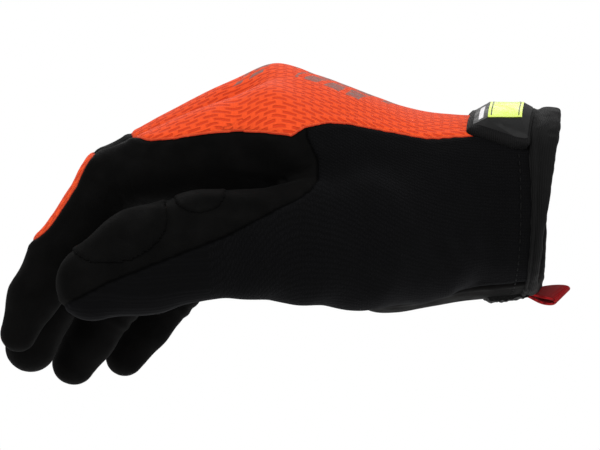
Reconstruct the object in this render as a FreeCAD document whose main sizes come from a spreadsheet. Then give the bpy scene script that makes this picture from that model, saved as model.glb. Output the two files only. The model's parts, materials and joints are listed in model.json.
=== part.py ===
"""Right-hand work glove, held in its worn shape, in millimetres.

+X runs out of the cuff along the arm, +Y to the little-finger side and +Z up
from the back of the hand.  The origin is the centre of the cuff opening.
"""
import FreeCAD, Part
import math
import os

Vector = FreeCAD.Vector
Rotation = FreeCAD.Rotation
Placement = FreeCAD.Placement

SIZES = {
    # cloth
    "wall": 1.2,
    "cloth_gap": 0.3,
    # wrist and hand
    "wrist_half_width": 35.0,
    "wrist_half_height": 29.0,
    "wrist_length": 30.0,
    "heel_distance": 45.0,
    "heel_half_width": 37.8,
    "heel_half_height": 33.7,
    "heel_rise": -2.0,
    "palm_distance": 60.0,
    "palm_half_width": 40.4,
    "palm_half_height": 36.7,
    "palm_rise": -0.2,
    "hollow_half_width": 41.5,
    "hollow_half_height": 34.0,
    "hollow_rise": 8.0,
    "knuckle_distance": 94.0,
    "knuckle_half_height": 29.5,
    "knuckle_rise": 16.0,
    "knuckle_tilt": 8.0,
    "knuckle_setback": 6.0,
    "finger_root_half_height": 19.0,
    "finger_root_rise": 20.0,
    "finger_root_tilt": 4.0,
    "finger_root_forward": 9.0,
    # fingers in common
    "finger_pitch": 21.2,
    "finger_gap": 0.6,
    "little_slimmer": 0.9,
    "end_joint_slimmer": 0.95,
    "root_tube_swell": 0.2,
    "pad_swell": 0.5,
    "knuckle_zone": 8.8,
    "back_edge": 3.0,
    "strip_height": 24.0,
    "strip_lap": 4.0,
    "front_margin": 1.5,
    # seams between the panels
    "back_seam_height": 20.5,
    "back_seam_crest": 5.0,
    "side_seam_setback": 21.0,
    "thumb_seam_height": 0.0,
    "thumb_seam_tilt": 24.0,
    "thumb_seam_run": 70.0,
    "palm_ceiling_drop": 14.0,
    "palm_near_edge": 26.0,
    "palm_far_edge": 30.0,
    "web_setback": 8.0,
    # thumb
    "thumb_side": 55.4,
    "thumb_drop": 14.0,
    "thumb_half_height": 15.9,
    "thumb_half_depth": 11.6,
    "thumb_joint_forward": 27.0,
    "thumb_zone": 8.2,
    "thumb_slope": 15.0,
    "thumb_length": 39.5,
    "thumb_heel": 8.0,
    "thumb_joint_drop": 1.0,
    "thumb_side_seam_drop": 3.0,
    "thumb_side_seam_tilt": 4.0,
    "thumb_patch_thickness": 0.8,
    "thumb_patch_lift": 2.0,
    "thumb_patch_setback": 1.0,
    # cuff
    "binding_width": 6.5,
    "binding_seat": 4.0,
    "binding_lap": 1.2,
    "binding_thickness": 4.0,
    "hem_width": 10.0,
    "hem_thickness": 0.8,
    "label_setback": 0.5,
    "label_length": 9.0,
    "label_span": 18.0,
    "label_thickness": 0.5,
    # strap
    "strap_width": 20.5,
    "strap_start": 28.0,
    "strap_span": 122.0,
    "strap_thickness": 1.3,
    "sewn_end_gap": 1.0,
    "sewn_end_span": 20.0,
    "patch_margin": 2.0,
    "patch_thickness": 0.5,
    "patch_span": 44.0,
    "tab_margin": 2.4,
    "tab_start": 33.0,
    "tab_span": 86.0,
    "tab_thickness": 2.2,
    "tab_bevel": 1.5,
    "insert_width": 11.0,
    "insert_start": 56.0,
    "insert_span": 50.0,
    "insert_depth": 1.0,
    "insert_fit": 0.15,
    "insert_end_fit": 0.3,
    # pull loop
    "loop_width": 11.0,
    "loop_length": 17.5,
    "loop_height": 7.8,
    "loop_thickness": 0.8,
    "loop_nose_drop": 0.5,
    "loop_patch_setback": 4.5,
    "loop_patch_length": 14.0,
    "loop_patch_thickness": 1.2,
    "loop_patch_span": 24.0,
}

# Each finger: root offset behind the knuckle line, root height, slope of the
# three phalanges below the horizontal, their lengths and the fingertip radius.
FINGERS = {
    "index": {"set_forward": 2.0, "rise": 25.5, "slopes": (18.9, 54.0, 62.5),
              "lengths": (47.5, 34.1, 27.1), "tip_radius": 6.6},
    "middle": {"set_forward": 0.0, "rise": 36.5, "slopes": (25.5, 57.0, 70.5),
               "lengths": (53.0, 39.0, 31.8), "tip_radius": 7.0},
    "ring": {"set_forward": -4.0, "rise": 29.5, "slopes": (44.0, 52.3, 55.4),
             "lengths": (51.0, 37.3, 23.8), "tip_radius": 7.0},
    "little": {"set_forward": -9.0, "rise": 21.5, "slopes": (47.0, 52.3, 53.5),
               "lengths": (40.0, 30.6, 28.6), "tip_radius": 6.0},
}
PHALANGES = ("near", "mid", "far")

# Crest of the back seam: distance ahead of the palm section, share of the rise.
BACK_SEAM = ((-12.0, 0.2), (4.0, 0.8), (12.0, 1.0), (20.0, 0.6))

# Thumb root sections: share of the side distance, lift, and the growth of the
# half height and half depth over those at the joint.
THUMB_ROOT = {
    "heel": {"share": 0.36, "lift": 4.0, "taller": 1.35, "deeper": 1.2},
    "ball": {"share": 0.56, "lift": 3.0, "taller": 1.42, "deeper": 1.3},
    "web": {"share": 0.83, "lift": 1.0, "taller": 1.18, "deeper": 1.1},
    "end": {"share": 1.0, "lift": 0.0, "taller": 1.0, "deeper": 1.0},
}

# Thumb tip, as shares of the half height, the shoulder distance and the half sizes.
THUMB_TIP = {"round_length": 0.85, "swell_place": 0.62, "swell": 1.01,
             "shoulder_height": 0.91, "shoulder_depth": 0.95}

# Turns, in degrees, of the rings that round off the fingertips and the thumb.
FINGER_TIP_TURNS = (0, 35, 60, 80)
THUMB_TIP_TURNS = (32, 56, 78)

doc = FreeCAD.newDocument("work_glove")
sheet = doc.addObject("Spreadsheet::Sheet", "Sizes")


def fill_sheet():
    """Write every driving size, with its alias, into the spreadsheet."""
    rows = dict(SIZES)
    for finger, data in FINGERS.items():
        rows[f"{finger}_forward"] = data["set_forward"]
        rows[f"{finger}_rise"] = data["rise"]
        rows[f"{finger}_tip"] = data["tip_radius"]
        for phalanx, slope, length in zip(PHALANGES, data["slopes"], data["lengths"]):
            rows[f"{finger}_{phalanx}_slope"] = slope
            rows[f"{finger}_{phalanx}_length"] = length
    for row, (alias, value) in enumerate(rows.items(), 1):
        sheet.set(f"A{row}", alias)
        sheet.set(f"B{row}", str(value))
        sheet.setAlias(f"B{row}", alias)
    doc.recompute()


def size(alias):
    return float(sheet.get(alias))


def bind(item, expressions):
    for target, expression in expressions.items():
        item.setExpression(target, expression)
    return item


# --- small builders ---------------------------------------------------------

ACROSS_ARM = Rotation(Vector(1, 1, 1), 120)      # ellipse: long axis Y, normal +X
ACROSS_THUMB = Rotation(Vector(0, 1, 0), -90)    # ellipse: long axis Z, normal -X


def ellipse(name, long_radius, short_radius, place):
    item = doc.addObject("Part::Ellipse", name)
    bind(item, {"MajorRadius": long_radius, "MinorRadius": short_radius})
    item.Placement = place
    return item


def circle(name, radius, place):
    item = doc.addObject("Part::Circle", name)
    item.Radius = radius
    item.Placement = place
    return item


def loft(name, sections):
    item = doc.addObject("Part::Loft", name)
    item.Sections = sections
    item.Solid = True
    return item


def extrusion(name, base, direction, length, back="0"):
    item = doc.addObject("Part::Extrusion", name)
    item.Base = base
    item.DirMode = "Custom"
    item.Dir = direction
    item.Solid = True
    return bind(item, {"LengthFwd": length, "LengthRev": back})


def cut(name, base, tool):
    item = doc.addObject("Part::Cut", name)
    item.Base = base
    item.Tool = tool
    return item


def common(name, base, tool):
    item = doc.addObject("Part::Common", name)
    item.Base = base
    item.Tool = tool
    return item


def fuse(name, shapes):
    item = doc.addObject("Part::MultiFuse", name)
    item.Shapes = shapes
    return item


def block(name, length, width, height, corner, turn=0.0, pivot=None):
    """A box with its low corner at `corner`, turned about Y through `pivot`."""
    item = doc.addObject("Part::Box", name)
    item.Length = length
    item.Width = width
    item.Height = height
    item.Placement = Placement(corner, Rotation())
    if turn:
        item.Placement = Placement(Vector(), Rotation(Vector(0, 1, 0), turn), pivot) * item.Placement
    return item


def solid_prism(name, points, reach):
    """A closed outline in the XZ plane, carried `reach` to both sides in Y."""
    item = doc.addObject("Part::Feature", name)
    wire = Part.makePolygon(points + points[:1])
    item.Shape = Part.Face(wire).extrude(Vector(0, 2 * reach, 0))
    item.Placement = Placement(Vector(0, -reach, 0), Rotation())
    return item


# --- where the digits lie ---------------------------------------------------

def finger_side(finger):
    """Distance of the finger's middle plane from the glove's, along Y."""
    rank = list(FINGERS).index(finger) - 1.5
    return rank * size("finger_pitch")


def finger_radius(finger):
    radius = (size("finger_pitch") - size("finger_gap")) / 2
    return radius * size("little_slimmer") if finger == "little" else radius


def direction(slope):
    """Unit vector that points to the fingertips, `slope` degrees below level."""
    angle = math.radians(slope)
    return Vector(-math.cos(angle), 0, -math.sin(angle))


def facing(slope):
    """Turn a section so that its normal points along `direction(slope)`."""
    return Rotation(Vector(0, 1, 0), -90 - slope)


def finger_points(finger):
    """Root, middle joint, end joint and fingertip centre of a finger."""
    forward = size("knuckle_distance") + size(f"{finger}_forward")
    points = [Vector(-forward, finger_side(finger), size(f"{finger}_rise"))]
    for phalanx in PHALANGES:
        step = direction(size(f"{finger}_{phalanx}_slope")) * size(f"{finger}_{phalanx}_length")
        points.append(points[-1] + step)
    return points


def finger_slopes(finger):
    return [size(f"{finger}_{phalanx}_slope") for phalanx in PHALANGES]


# --- the fixed shell: wrist, palm, thumb root and finger roots ---------------

def hand_section(name, half_width, half_height, less, distance, rise, tilt=0.0):
    """Oval across the hand; the top leans towards the fingers by `tilt` degrees."""
    place = Placement(Vector(-distance, 0, rise), Rotation(Vector(0, 1, 0), -tilt) * ACROSS_ARM)
    return ellipse(name, half_width + less, f"Sizes.{half_height}_half_height{less}", place)


def hand_form(tag, inset, reach):
    """Solid of the hand, `inset` inside the outer surface, open ends long by `reach`."""
    drop = size(inset) if inset else 0.0
    less = f" - Sizes.{inset}" if inset else ""
    span = "2 * Sizes.finger_pitch - Sizes.finger_gap"
    wrist = ("Sizes.wrist_half_width" + less, "Sizes.wrist_half_height" + less)
    knuckles = size("knuckle_distance") - size("knuckle_setback")
    root_back = size("knuckle_distance") + size("finger_root_forward") - drop
    sections = [
        hand_section(tag + "_wrist_end", "Sizes.wrist_half_width", "wrist", less,
                     size("wrist_length"), 0),
        hand_section(tag + "_heel", "Sizes.heel_half_width", "heel", less,
                     size("heel_distance"), size("heel_rise")),
        hand_section(tag + "_palm", "Sizes.palm_half_width", "palm", less,
                     size("palm_distance"), size("palm_rise")),
        hand_section(tag + "_hollow", "Sizes.hollow_half_width", "hollow", less,
                     (size("palm_distance") + knuckles) / 2, size("hollow_rise")),
        hand_section(tag + "_knuckles", span, "knuckle", less,
                     knuckles, size("knuckle_rise"), size("knuckle_tilt")),
        hand_section(tag + "_finger_roots", span + " - Sizes.wall", "finger_root", less,
                     root_back, size("finger_root_rise"), size("finger_root_tilt")),
    ]
    opening = ellipse(tag + "_opening", *wrist,
                      Placement(Vector(-size("wrist_length"), 0, 0), ACROSS_ARM))
    wrist_tube = extrusion(tag + "_wrist_tube", opening, Vector(1, 0, 0),
                           f"Sizes.wrist_length - Sizes.binding_width + Sizes.binding_seat + {reach}")
    pieces = [loft(tag + "_hand", sections), wrist_tube, thumb_root(tag, less, reach)]
    for finger in FINGERS:
        pieces += finger_root(finger, tag, drop, reach)
    return fuse(tag + "_form", pieces)


def thumb_root(tag, less, reach):
    """The thumb from the heel of the hand to its knuckle zone."""
    side = size("thumb_side")
    end = -thumb_joint().x - size("thumb_zone")
    heel = size("wrist_length") + size("thumb_heel")
    web = (heel + end) / 2 + size("thumb_heel")
    distances = {"heel": heel, "ball": (heel + web) / 2, "web": web, "end": end + reach}
    sections = []
    for row, shape in THUMB_ROOT.items():
        centre = Vector(-distances[row], -side * shape["share"], shape["lift"] - size("thumb_drop"))
        sections.append(ellipse(f"{tag}_thumb_{row}",
                                f"Sizes.thumb_half_height * {shape['taller']}{less}",
                                f"Sizes.thumb_half_depth * {shape['deeper']}{less}",
                                Placement(centre, ACROSS_THUMB)))
    return loft(tag + "_thumb_root", sections)


def finger_root(finger, tag, drop, reach):
    """A tapered tube from the knuckle to the knuckle zone, and a ball at its root."""
    root, joint = finger_points(finger)[:2]
    slope = finger_slopes(finger)[0]
    radius = finger_radius(finger) - drop
    length = (joint - root).Length - size("knuckle_zone") + reach
    place = Placement(root, facing(slope))
    tube = doc.addObject("Part::Cone", f"{tag}_{finger}_tube")
    tube.Radius1 = radius + size("root_tube_swell")
    tube.Radius2 = radius
    tube.Height = length
    tube.Placement = place
    ball = doc.addObject("Part::Sphere", f"{tag}_{finger}_ball")
    ball.Radius = radius
    ball.Placement = place
    return [tube, ball]


# --- panels cut from the fixed shell -----------------------------------------

def back_region():
    """Everything above the seam of the back panel, and a strip along each finger."""
    reach = 2 * size("palm_half_width")
    low = size("back_seam_height")
    lean = size("finger_root_half_height") * math.sin(math.radians(size("finger_root_tilt")))
    front = -size("knuckle_distance") - size("finger_root_forward") - lean - size("wall")
    palm = -size("palm_distance")
    top = size("knuckle_rise") + 3 * size("knuckle_half_height")
    outline = [Vector(1, 0, low)]
    for ahead, share in BACK_SEAM:
        outline.append(Vector(palm - ahead, 0, low + share * size("back_seam_crest")))
    outline += [Vector(size("knuckle_setback") - size("knuckle_distance"), 0, low),
                Vector(front, 0, low + 1), Vector(front, 0, top), Vector(1, 0, top)]
    pieces = [solid_prism("back_outline", outline, reach)]
    for finger in FINGERS:
        pieces.append(finger_block(f"{finger}_back_strip", finger, size("back_edge"),
                                   size("strip_height"), -size("strip_lap")))
    return fuse("back_region", pieces)


def finger_block(name, finger, low, high, start):
    """Box along the first phalanx, from `low` to `high` above the finger's axis."""
    root, joint = finger_points(finger)[:2]
    pitch = size("finger_pitch")
    length = (joint - root).Length - start
    corner = Vector(root.x - start - length, root.y - pitch / 2, root.z + low)
    return block(name, length, pitch, high - low, corner, -finger_slopes(finger)[0], root)


def thumb_seam_region():
    """The side below and behind the seam that runs from the back panel along the thumb."""
    edge = size("side_seam_setback") - size("knuckle_distance")
    start = size("thumb_seam_height")
    run = size("thumb_seam_run")
    end = start - run * math.tan(math.radians(size("thumb_seam_tilt")))
    top = size("back_seam_height") + 3 * size("back_seam_crest")
    low = -4 * size("thumb_half_height")
    outline = [Vector(1, 0, top), Vector(edge, 0, top), Vector(edge, 0, start),
               Vector(edge - run, 0, end), Vector(edge - run, 0, low), Vector(1, 0, low)]
    return solid_prism("thumb_seam_region", outline, 3 * size("palm_half_width"))


def palm_region():
    """The underside between the two side panels, and the web between the fingers."""
    ceiling = size("back_seam_height") - size("palm_ceiling_drop")
    web = size("web_setback") - size("knuckle_distance")
    top = size("knuckle_rise") + 3 * size("knuckle_half_height")
    outline = [Vector(1, 0, -top), Vector(1, 0, ceiling), Vector(web, 0, ceiling),
               Vector(web, 0, top), Vector(2 * web, 0, top), Vector(2 * web, 0, -top)]
    near = size("palm_near_edge")
    far = size("palm_far_edge")
    region = doc.addObject("Part::Feature", "palm_region")
    region.Shape = Part.Face(Part.makePolygon(outline + outline[:1])).extrude(Vector(0, near + far, 0))
    region.Placement = Placement(Vector(0, -near, 0), Rotation())
    return region


def fixed_panels():
    """Cut the shell into its panels with flat-sided regions that share their faces."""
    outer = hand_form("outer", "", 0)
    inner = hand_form("inner", "wall", 2)
    shell = cut("shell", outer, inner)
    back = back_region()
    common("back_panel", shell, back)
    boxes = []
    for finger in FINGERS:
        radius = finger_radius(finger)
        box = finger_block(f"{finger}_front_box", finger, -radius - size("front_margin"),
                           radius + size("back_edge"), size("strip_lap"))
        common(f"{finger}_sleeve", shell, cut(f"{finger}_front_region", box, back))
        boxes.append(box)
    taken = fuse("taken_region", [back] + boxes)
    palm = palm_region()
    palm_only = cut("palm_only_region", palm, taken)
    reach = 3 * size("palm_half_width")
    web_box = block("web_box", reach, 2 * reach, 2 * reach,
                    Vector(size("web_setback") - size("knuckle_distance") - reach, -reach, -reach))
    common("finger_webs", shell, common("web_region", palm_only, web_box))
    common("palm_panel", shell, cut("palm_region_behind", palm_only, web_box))
    corner = Vector(-2 * reach, 0, -reach)
    little_half = block("little_half", 2 * reach, reach, 2 * reach, corner)
    thumb_half = block("thumb_half", 2 * reach, reach, 2 * reach, corner - Vector(0, reach, 0))
    taken_too = fuse("taken_or_palm", [taken, palm])
    common("little_side_panel", shell, cut("little_region", little_half, taken_too))
    thumb_region = cut("thumb_region", thumb_half, taken_too)
    seam = thumb_seam_region()
    common("thumb_knit_panel", shell, common("thumb_knit_region", thumb_region, seam))
    common("thumb_leather_panel", shell, cut("thumb_leather_region", thumb_region, seam))


# --- moving finger stalls -----------------------------------------------------

def tip_rings(centre, slope, radius):
    """Centres and radii that round off a tip of the given radius."""
    rings = []
    for turn in FINGER_TIP_TURNS:
        angle = math.radians(turn)
        rings.append((centre + direction(slope) * (radius * math.sin(angle)), radius * math.cos(angle)))
    return rings


def stall_form(name, finger, inset, reach):
    joint, end_joint, tip = finger_points(finger)[1:]
    mid_slope, far_slope = finger_slopes(finger)[1:]
    drop = size(inset) if inset else 0.0
    radius = finger_radius(finger)
    end_radius = radius * size("end_joint_slimmer")
    start = joint + direction(mid_slope) * (size("knuckle_zone") - reach)
    halfway = (end_joint + tip) * 0.5
    sections = [circle(name + "_mouth", radius - drop, Placement(start, facing(mid_slope))),
                circle(name + "_end_joint", end_radius - drop,
                       Placement(end_joint, facing((mid_slope + far_slope) / 2))),
                circle(name + "_halfway", (end_radius + size(f"{finger}_tip")) / 2 + size("pad_swell") - drop,
                       Placement(halfway, facing(far_slope)))]
    for place, ring in enumerate(tip_rings(tip, far_slope, size(f"{finger}_tip") - drop)):
        centre, ring_radius = ring
        sections.append(circle(f"{name}_tip_{place}", ring_radius, Placement(centre, facing(far_slope))))
    return loft(name, sections)


def stall(finger):
    """Front, back strip and tip cap of the part beyond the middle joint."""
    joint, end_joint, tip = finger_points(finger)[1:]
    mid_slope, far_slope = finger_slopes(finger)[1:]
    radius = finger_radius(finger)
    shell = cut(f"{finger}_stall", stall_form(f"{finger}_stall_outer", finger, "", 0),
                stall_form(f"{finger}_stall_inner", finger, "wall", 1))
    reach = 2 * radius
    length = (end_joint - joint).Length
    back_box = block(f"{finger}_back_box", length, 2 * reach, reach,
                     Vector(joint.x - length, joint.y - reach, joint.z + size("back_edge")),
                     -mid_slope, joint)
    tip_length = (tip - end_joint).Length + reach
    tip_box = block(f"{finger}_tip_box", tip_length + size("strip_lap"), 2 * reach, reach,
                    Vector(end_joint.x - tip_length, joint.y - reach, end_joint.z + size("back_edge")),
                    -far_slope, end_joint)
    common(f"{finger}_back", shell, back_box)
    rest = cut(f"{finger}_stall_rest", shell, back_box)
    common(f"{finger}_tip_cap", rest, tip_box)
    cut(f"{finger}_front", rest, tip_box)


def bent_tube(name, ends, slopes, centre, radii):
    """Tube through three rings, from one slope to another, round a joint's centre."""
    halfway = (slopes[0] + slopes[1]) / 2
    forms = []
    for tag, drop in (("outer", 0.0), ("inner", size("wall"))):
        sections = []
        for place, slope in ((ends[0], slopes[0]), (centre, halfway), (ends[1], slopes[1])):
            seat = Placement(place, facing(slope))
            sections.append(oval(f"{name}_{tag}_{len(sections)}", radii[0] - drop, radii[1] - drop, seat))
        forms.append(loft(f"{name}_{tag}", sections))
    return cut(name, forms[0], forms[1])


def oval(name, half_height, half_depth, place):
    """Section across a digit: a circle on a finger, an upright ellipse on the thumb."""
    if half_height - half_depth < 0.01:
        return circle(name, half_height, place)
    item = doc.addObject("Part::Ellipse", name)
    item.MajorRadius = half_height
    item.MinorRadius = half_depth
    item.Placement = place
    return item


def finger_knuckle(finger):
    """The flexible band over the middle joint, clear of the cloth on both sides."""
    joint = finger_points(finger)[1]
    slopes = finger_slopes(finger)[:2]
    run = size("knuckle_zone") - size("cloth_gap")
    radius = finger_radius(finger)
    ends = [joint - direction(slopes[0]) * run, joint + direction(slopes[1]) * run]
    bent_tube(f"{finger}_knuckle", ends, slopes, joint, (radius, radius))


# --- thumb --------------------------------------------------------------------

def thumb_joint():
    distance = size("knuckle_distance") + size("thumb_joint_forward")
    return Vector(-distance, -size("thumb_side"), -size("thumb_drop") - size("thumb_joint_drop"))


def thumb_form(name, inset, reach):
    """Outer or inner solid of the thumb beyond its joint; a negative inset grows it."""
    joint = thumb_joint()
    slope = size("thumb_slope")
    tall = size("thumb_half_height")
    deep = size("thumb_half_depth")
    round_length = THUMB_TIP["round_length"] * tall
    shoulder = size("thumb_length") - round_length
    end_tall = THUMB_TIP["shoulder_height"] * tall
    end_deep = THUMB_TIP["shoulder_depth"] * deep
    rings = [(size("thumb_zone") - reach, tall, deep),
             (shoulder * THUMB_TIP["swell_place"], tall * THUMB_TIP["swell"], deep),
             (shoulder, end_tall, end_deep)]
    for turn in THUMB_TIP_TURNS:
        angle = math.radians(turn)
        rings.append((shoulder + (round_length - inset) * math.sin(angle),
                      (end_tall - inset) * math.cos(angle) + inset,
                      (end_deep - inset) * math.cos(angle) + inset))
    sections = []
    for distance, half_height, half_depth in rings:
        place = Placement(joint + direction(slope) * distance, facing(slope))
        sections.append(oval(f"{name}_{len(sections)}", half_height - inset, half_depth - inset, place))
    return loft(name, sections)


def thumb():
    joint = thumb_joint()
    slope = size("thumb_slope")
    run = size("thumb_zone") - size("cloth_gap")
    ends = [Vector(joint.x + run, joint.y, -size("thumb_drop")), joint + direction(slope) * run]
    tall = size("thumb_half_height")
    bent_tube("thumb_knuckle", ends, (0.0, slope), joint, (tall, size("thumb_half_depth")))
    outer = thumb_form("thumb_outer", 0.0, 0)
    shell = cut("thumb_stall", outer, thumb_form("thumb_inner", size("wall"), 1))
    reach = 2 * size("thumb_half_height")
    length = size("thumb_length") + reach
    seam_top = joint.z - size("thumb_side_seam_drop")
    seam = block("thumb_seam_box", length, 2 * reach, 2 * reach,
                 Vector(joint.x - length, joint.y - reach, seam_top - 2 * reach),
                 -slope - size("thumb_side_seam_tilt"), joint)
    common("thumb_back", shell, seam)
    cut("thumb_front", shell, seam)
    skin = cut("thumb_skin", thumb_form("thumb_patch_outer", -size("thumb_patch_thickness"), 0), outer)
    patch_start = joint.x - size("thumb_zone") - size("thumb_patch_setback")
    patch_box = block("thumb_patch_box", length, 2 * reach, 2 * reach,
                      Vector(patch_start - length, joint.y - 2 * reach, joint.z + size("thumb_patch_lift")),
                      -slope, joint)
    common("thumb_patch", skin, patch_box)


# --- cuff, strap and pull loop -------------------------------------------------

def ring_band(name, low, high, right, width):
    """Elliptical band round the wrist between two heights above the cloth."""
    tubes = []
    for tag, height in (("outer", high), ("inner", low)):
        seat = Placement(Vector(right, 0, 0), ACROSS_ARM)
        ring = ellipse(f"{name}_{tag}_ring", f"Sizes.wrist_half_width + {height}",
                       f"Sizes.wrist_half_height + {height}", seat)
        tubes.append(extrusion(f"{name}_{tag}_tube", ring, Vector(-1, 0, 0), width))
    return cut(name, tubes[0], tubes[1])


def arc_band(name, low, high, right, width, start, span):
    """Part of a ring band; angles run from the thumb side over the back of the hand."""
    pie = doc.addObject("Part::Cylinder", name + "_sector")
    bind(pie, {"Height": width, "Angle": span})
    pie.Radius = 3 * size("wrist_half_width")
    base = Rotation(Vector(0, -1, 0), Vector(0, 0, 1), Vector(-1, 0, 0), "ZXY")
    pie.Placement = Placement(Vector(right, 0, 0), base * Rotation(Vector(0, 0, 1), start))
    return common(name, ring_band(name + "_ring", low, high, right, width), pie)


def cuff():
    ring = ring_band("binding_ring", "Sizes.binding_lap - Sizes.binding_thickness", "Sizes.binding_lap",
                     0, "Sizes.binding_width")
    groove = ring_band("binding_groove", "-Sizes.wall", "0",
                       size("binding_seat") - size("binding_width"), "Sizes.binding_seat")
    cut("cuff_binding", ring, groove)
    hem_top = "-Sizes.wall"
    hem_low = "-Sizes.wall - Sizes.hem_thickness"
    ring_band("cuff_hem", hem_low, hem_top, -size("binding_width"), "Sizes.hem_width")
    arc_band("care_label", hem_low + " - Sizes.label_thickness", hem_low,
             -size("binding_width") - size("label_setback"), "Sizes.label_length",
             90 - size("label_span") / 2, "Sizes.label_span")


def strap():
    right = -size("binding_width") - size("cloth_gap")
    lift = "(Sizes.patch_thickness + Sizes.cloth_gap)"
    base = f"({lift} + Sizes.patch_thickness)"
    top = f"({base} + Sizes.strap_thickness)"
    tab_top = f"({top} + Sizes.tab_thickness)"
    start = size("strap_start")
    margin = size("patch_margin")
    patch_width = "Sizes.strap_width - 2 * Sizes.patch_margin"
    arc_band("loop_patch", "0", "Sizes.patch_thickness", right - margin, patch_width,
             start + margin, "Sizes.patch_span")
    arc_band("hook_patch", lift, base, right - margin, patch_width, start + margin, "Sizes.patch_span")
    arc_band("strap_webbing", base, top, right, "Sizes.strap_width", start, "Sizes.strap_span")
    arc_band("strap_sewn_end", "0", top, right, "Sizes.strap_width",
             start + size("strap_span") + size("sewn_end_gap"), "Sizes.sewn_end_span")
    tab_right = right - size("tab_margin")
    tab = arc_band("tab_blank", top, tab_top, tab_right, "Sizes.strap_width - 2 * Sizes.tab_margin",
                   size("tab_start"), "Sizes.tab_span")
    doc.recompute()
    bevelled = bevel_outer_edges("tab_bevelled", tab)
    insert_right = right - size("strap_width") / 2 + size("insert_width") / 2
    fit = size("insert_fit")
    floor = f"({tab_top} - Sizes.insert_depth)"
    pocket = arc_band("tab_pocket", floor, tab_top + " + 1", insert_right + fit,
                      "Sizes.insert_width + 2 * Sizes.insert_fit",
                      size("insert_start") - size("insert_end_fit"),
                      "Sizes.insert_span + 2 * Sizes.insert_end_fit")
    cut("tab_rubber", bevelled, pocket)
    arc_band("tab_insert", floor, tab_top, insert_right, "Sizes.insert_width",
             size("insert_start"), "Sizes.insert_span")


def bevel_outer_edges(name, blank):
    """Chamfer every edge of the face that looks away from the wrist."""
    face = max(blank.Shape.Faces, key=lambda item: item.Area)
    item = doc.addObject("Part::Chamfer", name)
    item.Base = blank
    bevel = size("tab_bevel")
    edges = []
    for number, edge in enumerate(blank.Shape.Edges, 1):
        if any(edge.isSame(other) for other in face.Edges):
            edges.append((number, bevel, bevel))
    item.Edges = edges
    return item


def pull_loop():
    """Webbing folded into a drop shape, hung from a sewn patch under the wrist."""
    patch_right = -size("binding_width") - size("loop_patch_setback")
    arc_band("loop_anchor", "0", "Sizes.loop_patch_thickness", patch_right, "Sizes.loop_patch_length",
             270 - size("loop_patch_span") / 2, "Sizes.loop_patch_span")
    radius = size("loop_height") / 2
    ceiling = -size("wrist_half_height") - size("binding_lap") - size("cloth_gap")
    start = Vector(patch_right, 0, ceiling - size("loop_nose_drop"))
    centre = Vector(patch_right + size("loop_length") - radius, 0, ceiling - radius)
    outer = drop_outline(start, centre, radius)
    inner = drop_outline(start + Vector(3 * size("loop_thickness"), 0, -size("loop_thickness")), centre,
                         radius - size("loop_thickness"))
    width = size("loop_width")
    item = doc.addObject("Part::Feature", "pull_loop")
    band = outer.extrude(Vector(0, width, 0)).cut(inner.extrude(Vector(0, width, 0)))
    item.Shape = band
    item.Placement = Placement(Vector(0, -width / 2, 0), Rotation())


def drop_outline(point, centre, radius):
    """Face of a drop: an arc round `centre` and its two tangents from `point`."""
    away = point - centre
    spread = math.acos(radius / away.Length)
    bearing = math.atan2(away.z, away.x)
    ends = []
    for turn in (bearing - spread, bearing + spread, bearing + math.pi):
        ends.append(centre + Vector(math.cos(turn), 0, math.sin(turn)) * radius)
    arc = Part.Arc(ends[0], ends[2], ends[1]).toShape()
    lines = [Part.makeLine(point, ends[0]), Part.makeLine(ends[1], point)]
    return Part.Face(Part.Wire(Part.__sortEdges__([lines[0], arc, lines[1]])))


# --- the glove ------------------------------------------------------------------

NODES = ["back_panel", "palm_panel", "finger_webs",
         "thumb_knit_panel", "thumb_leather_panel", "little_side_panel"]
for finger_name in FINGERS:
    NODES += [f"{finger_name}_{piece}" for piece in ("sleeve", "knuckle", "back", "front", "tip_cap")]
NODES += ["thumb_knuckle", "thumb_back", "thumb_front", "thumb_patch",
          "cuff_binding", "cuff_hem", "care_label",
          "loop_patch", "hook_patch", "strap_webbing", "strap_sewn_end", "tab_rubber", "tab_insert",
          "loop_anchor", "pull_loop"]


def build():
    fill_sheet()
    fixed_panels()
    for finger in FINGERS:
        finger_knuckle(finger)
        stall(finger)
    thumb()
    cuff()
    strap()
    pull_loop()
    doc.recompute()


def check_and_write():
    """Refuse a failed object, then write every piece to its own file."""
    for item in doc.Objects:
        if {"Invalid", "Error"} & set(item.State):
            raise RuntimeError(f"{item.Name} failed: {item.State}")
    os.makedirs("parts", exist_ok=True)
    for name in NODES:
        item = doc.getObject(name)
        item.Label = name
        if item.Shape.isNull() or not item.Shape.isValid() or not item.Shape.Solids:
            raise RuntimeError(f"{name} has no valid solid")
        item.Shape.exportStep(f"parts/{name}.step")


build()
check_and_write()
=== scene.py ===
"""Dressed look of the right-hand work glove: cloth panels, cuff, strap and pull loop.

Shapes are worked out in millimetres in the frame of the CAD model, and written to
Blender in metres.  +X leaves the cuff, +Y is the little-finger side, +Z is up.
"""
import bmesh
import bpy
import json
import math
import numpy as np
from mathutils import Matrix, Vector, kdtree, noise


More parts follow.
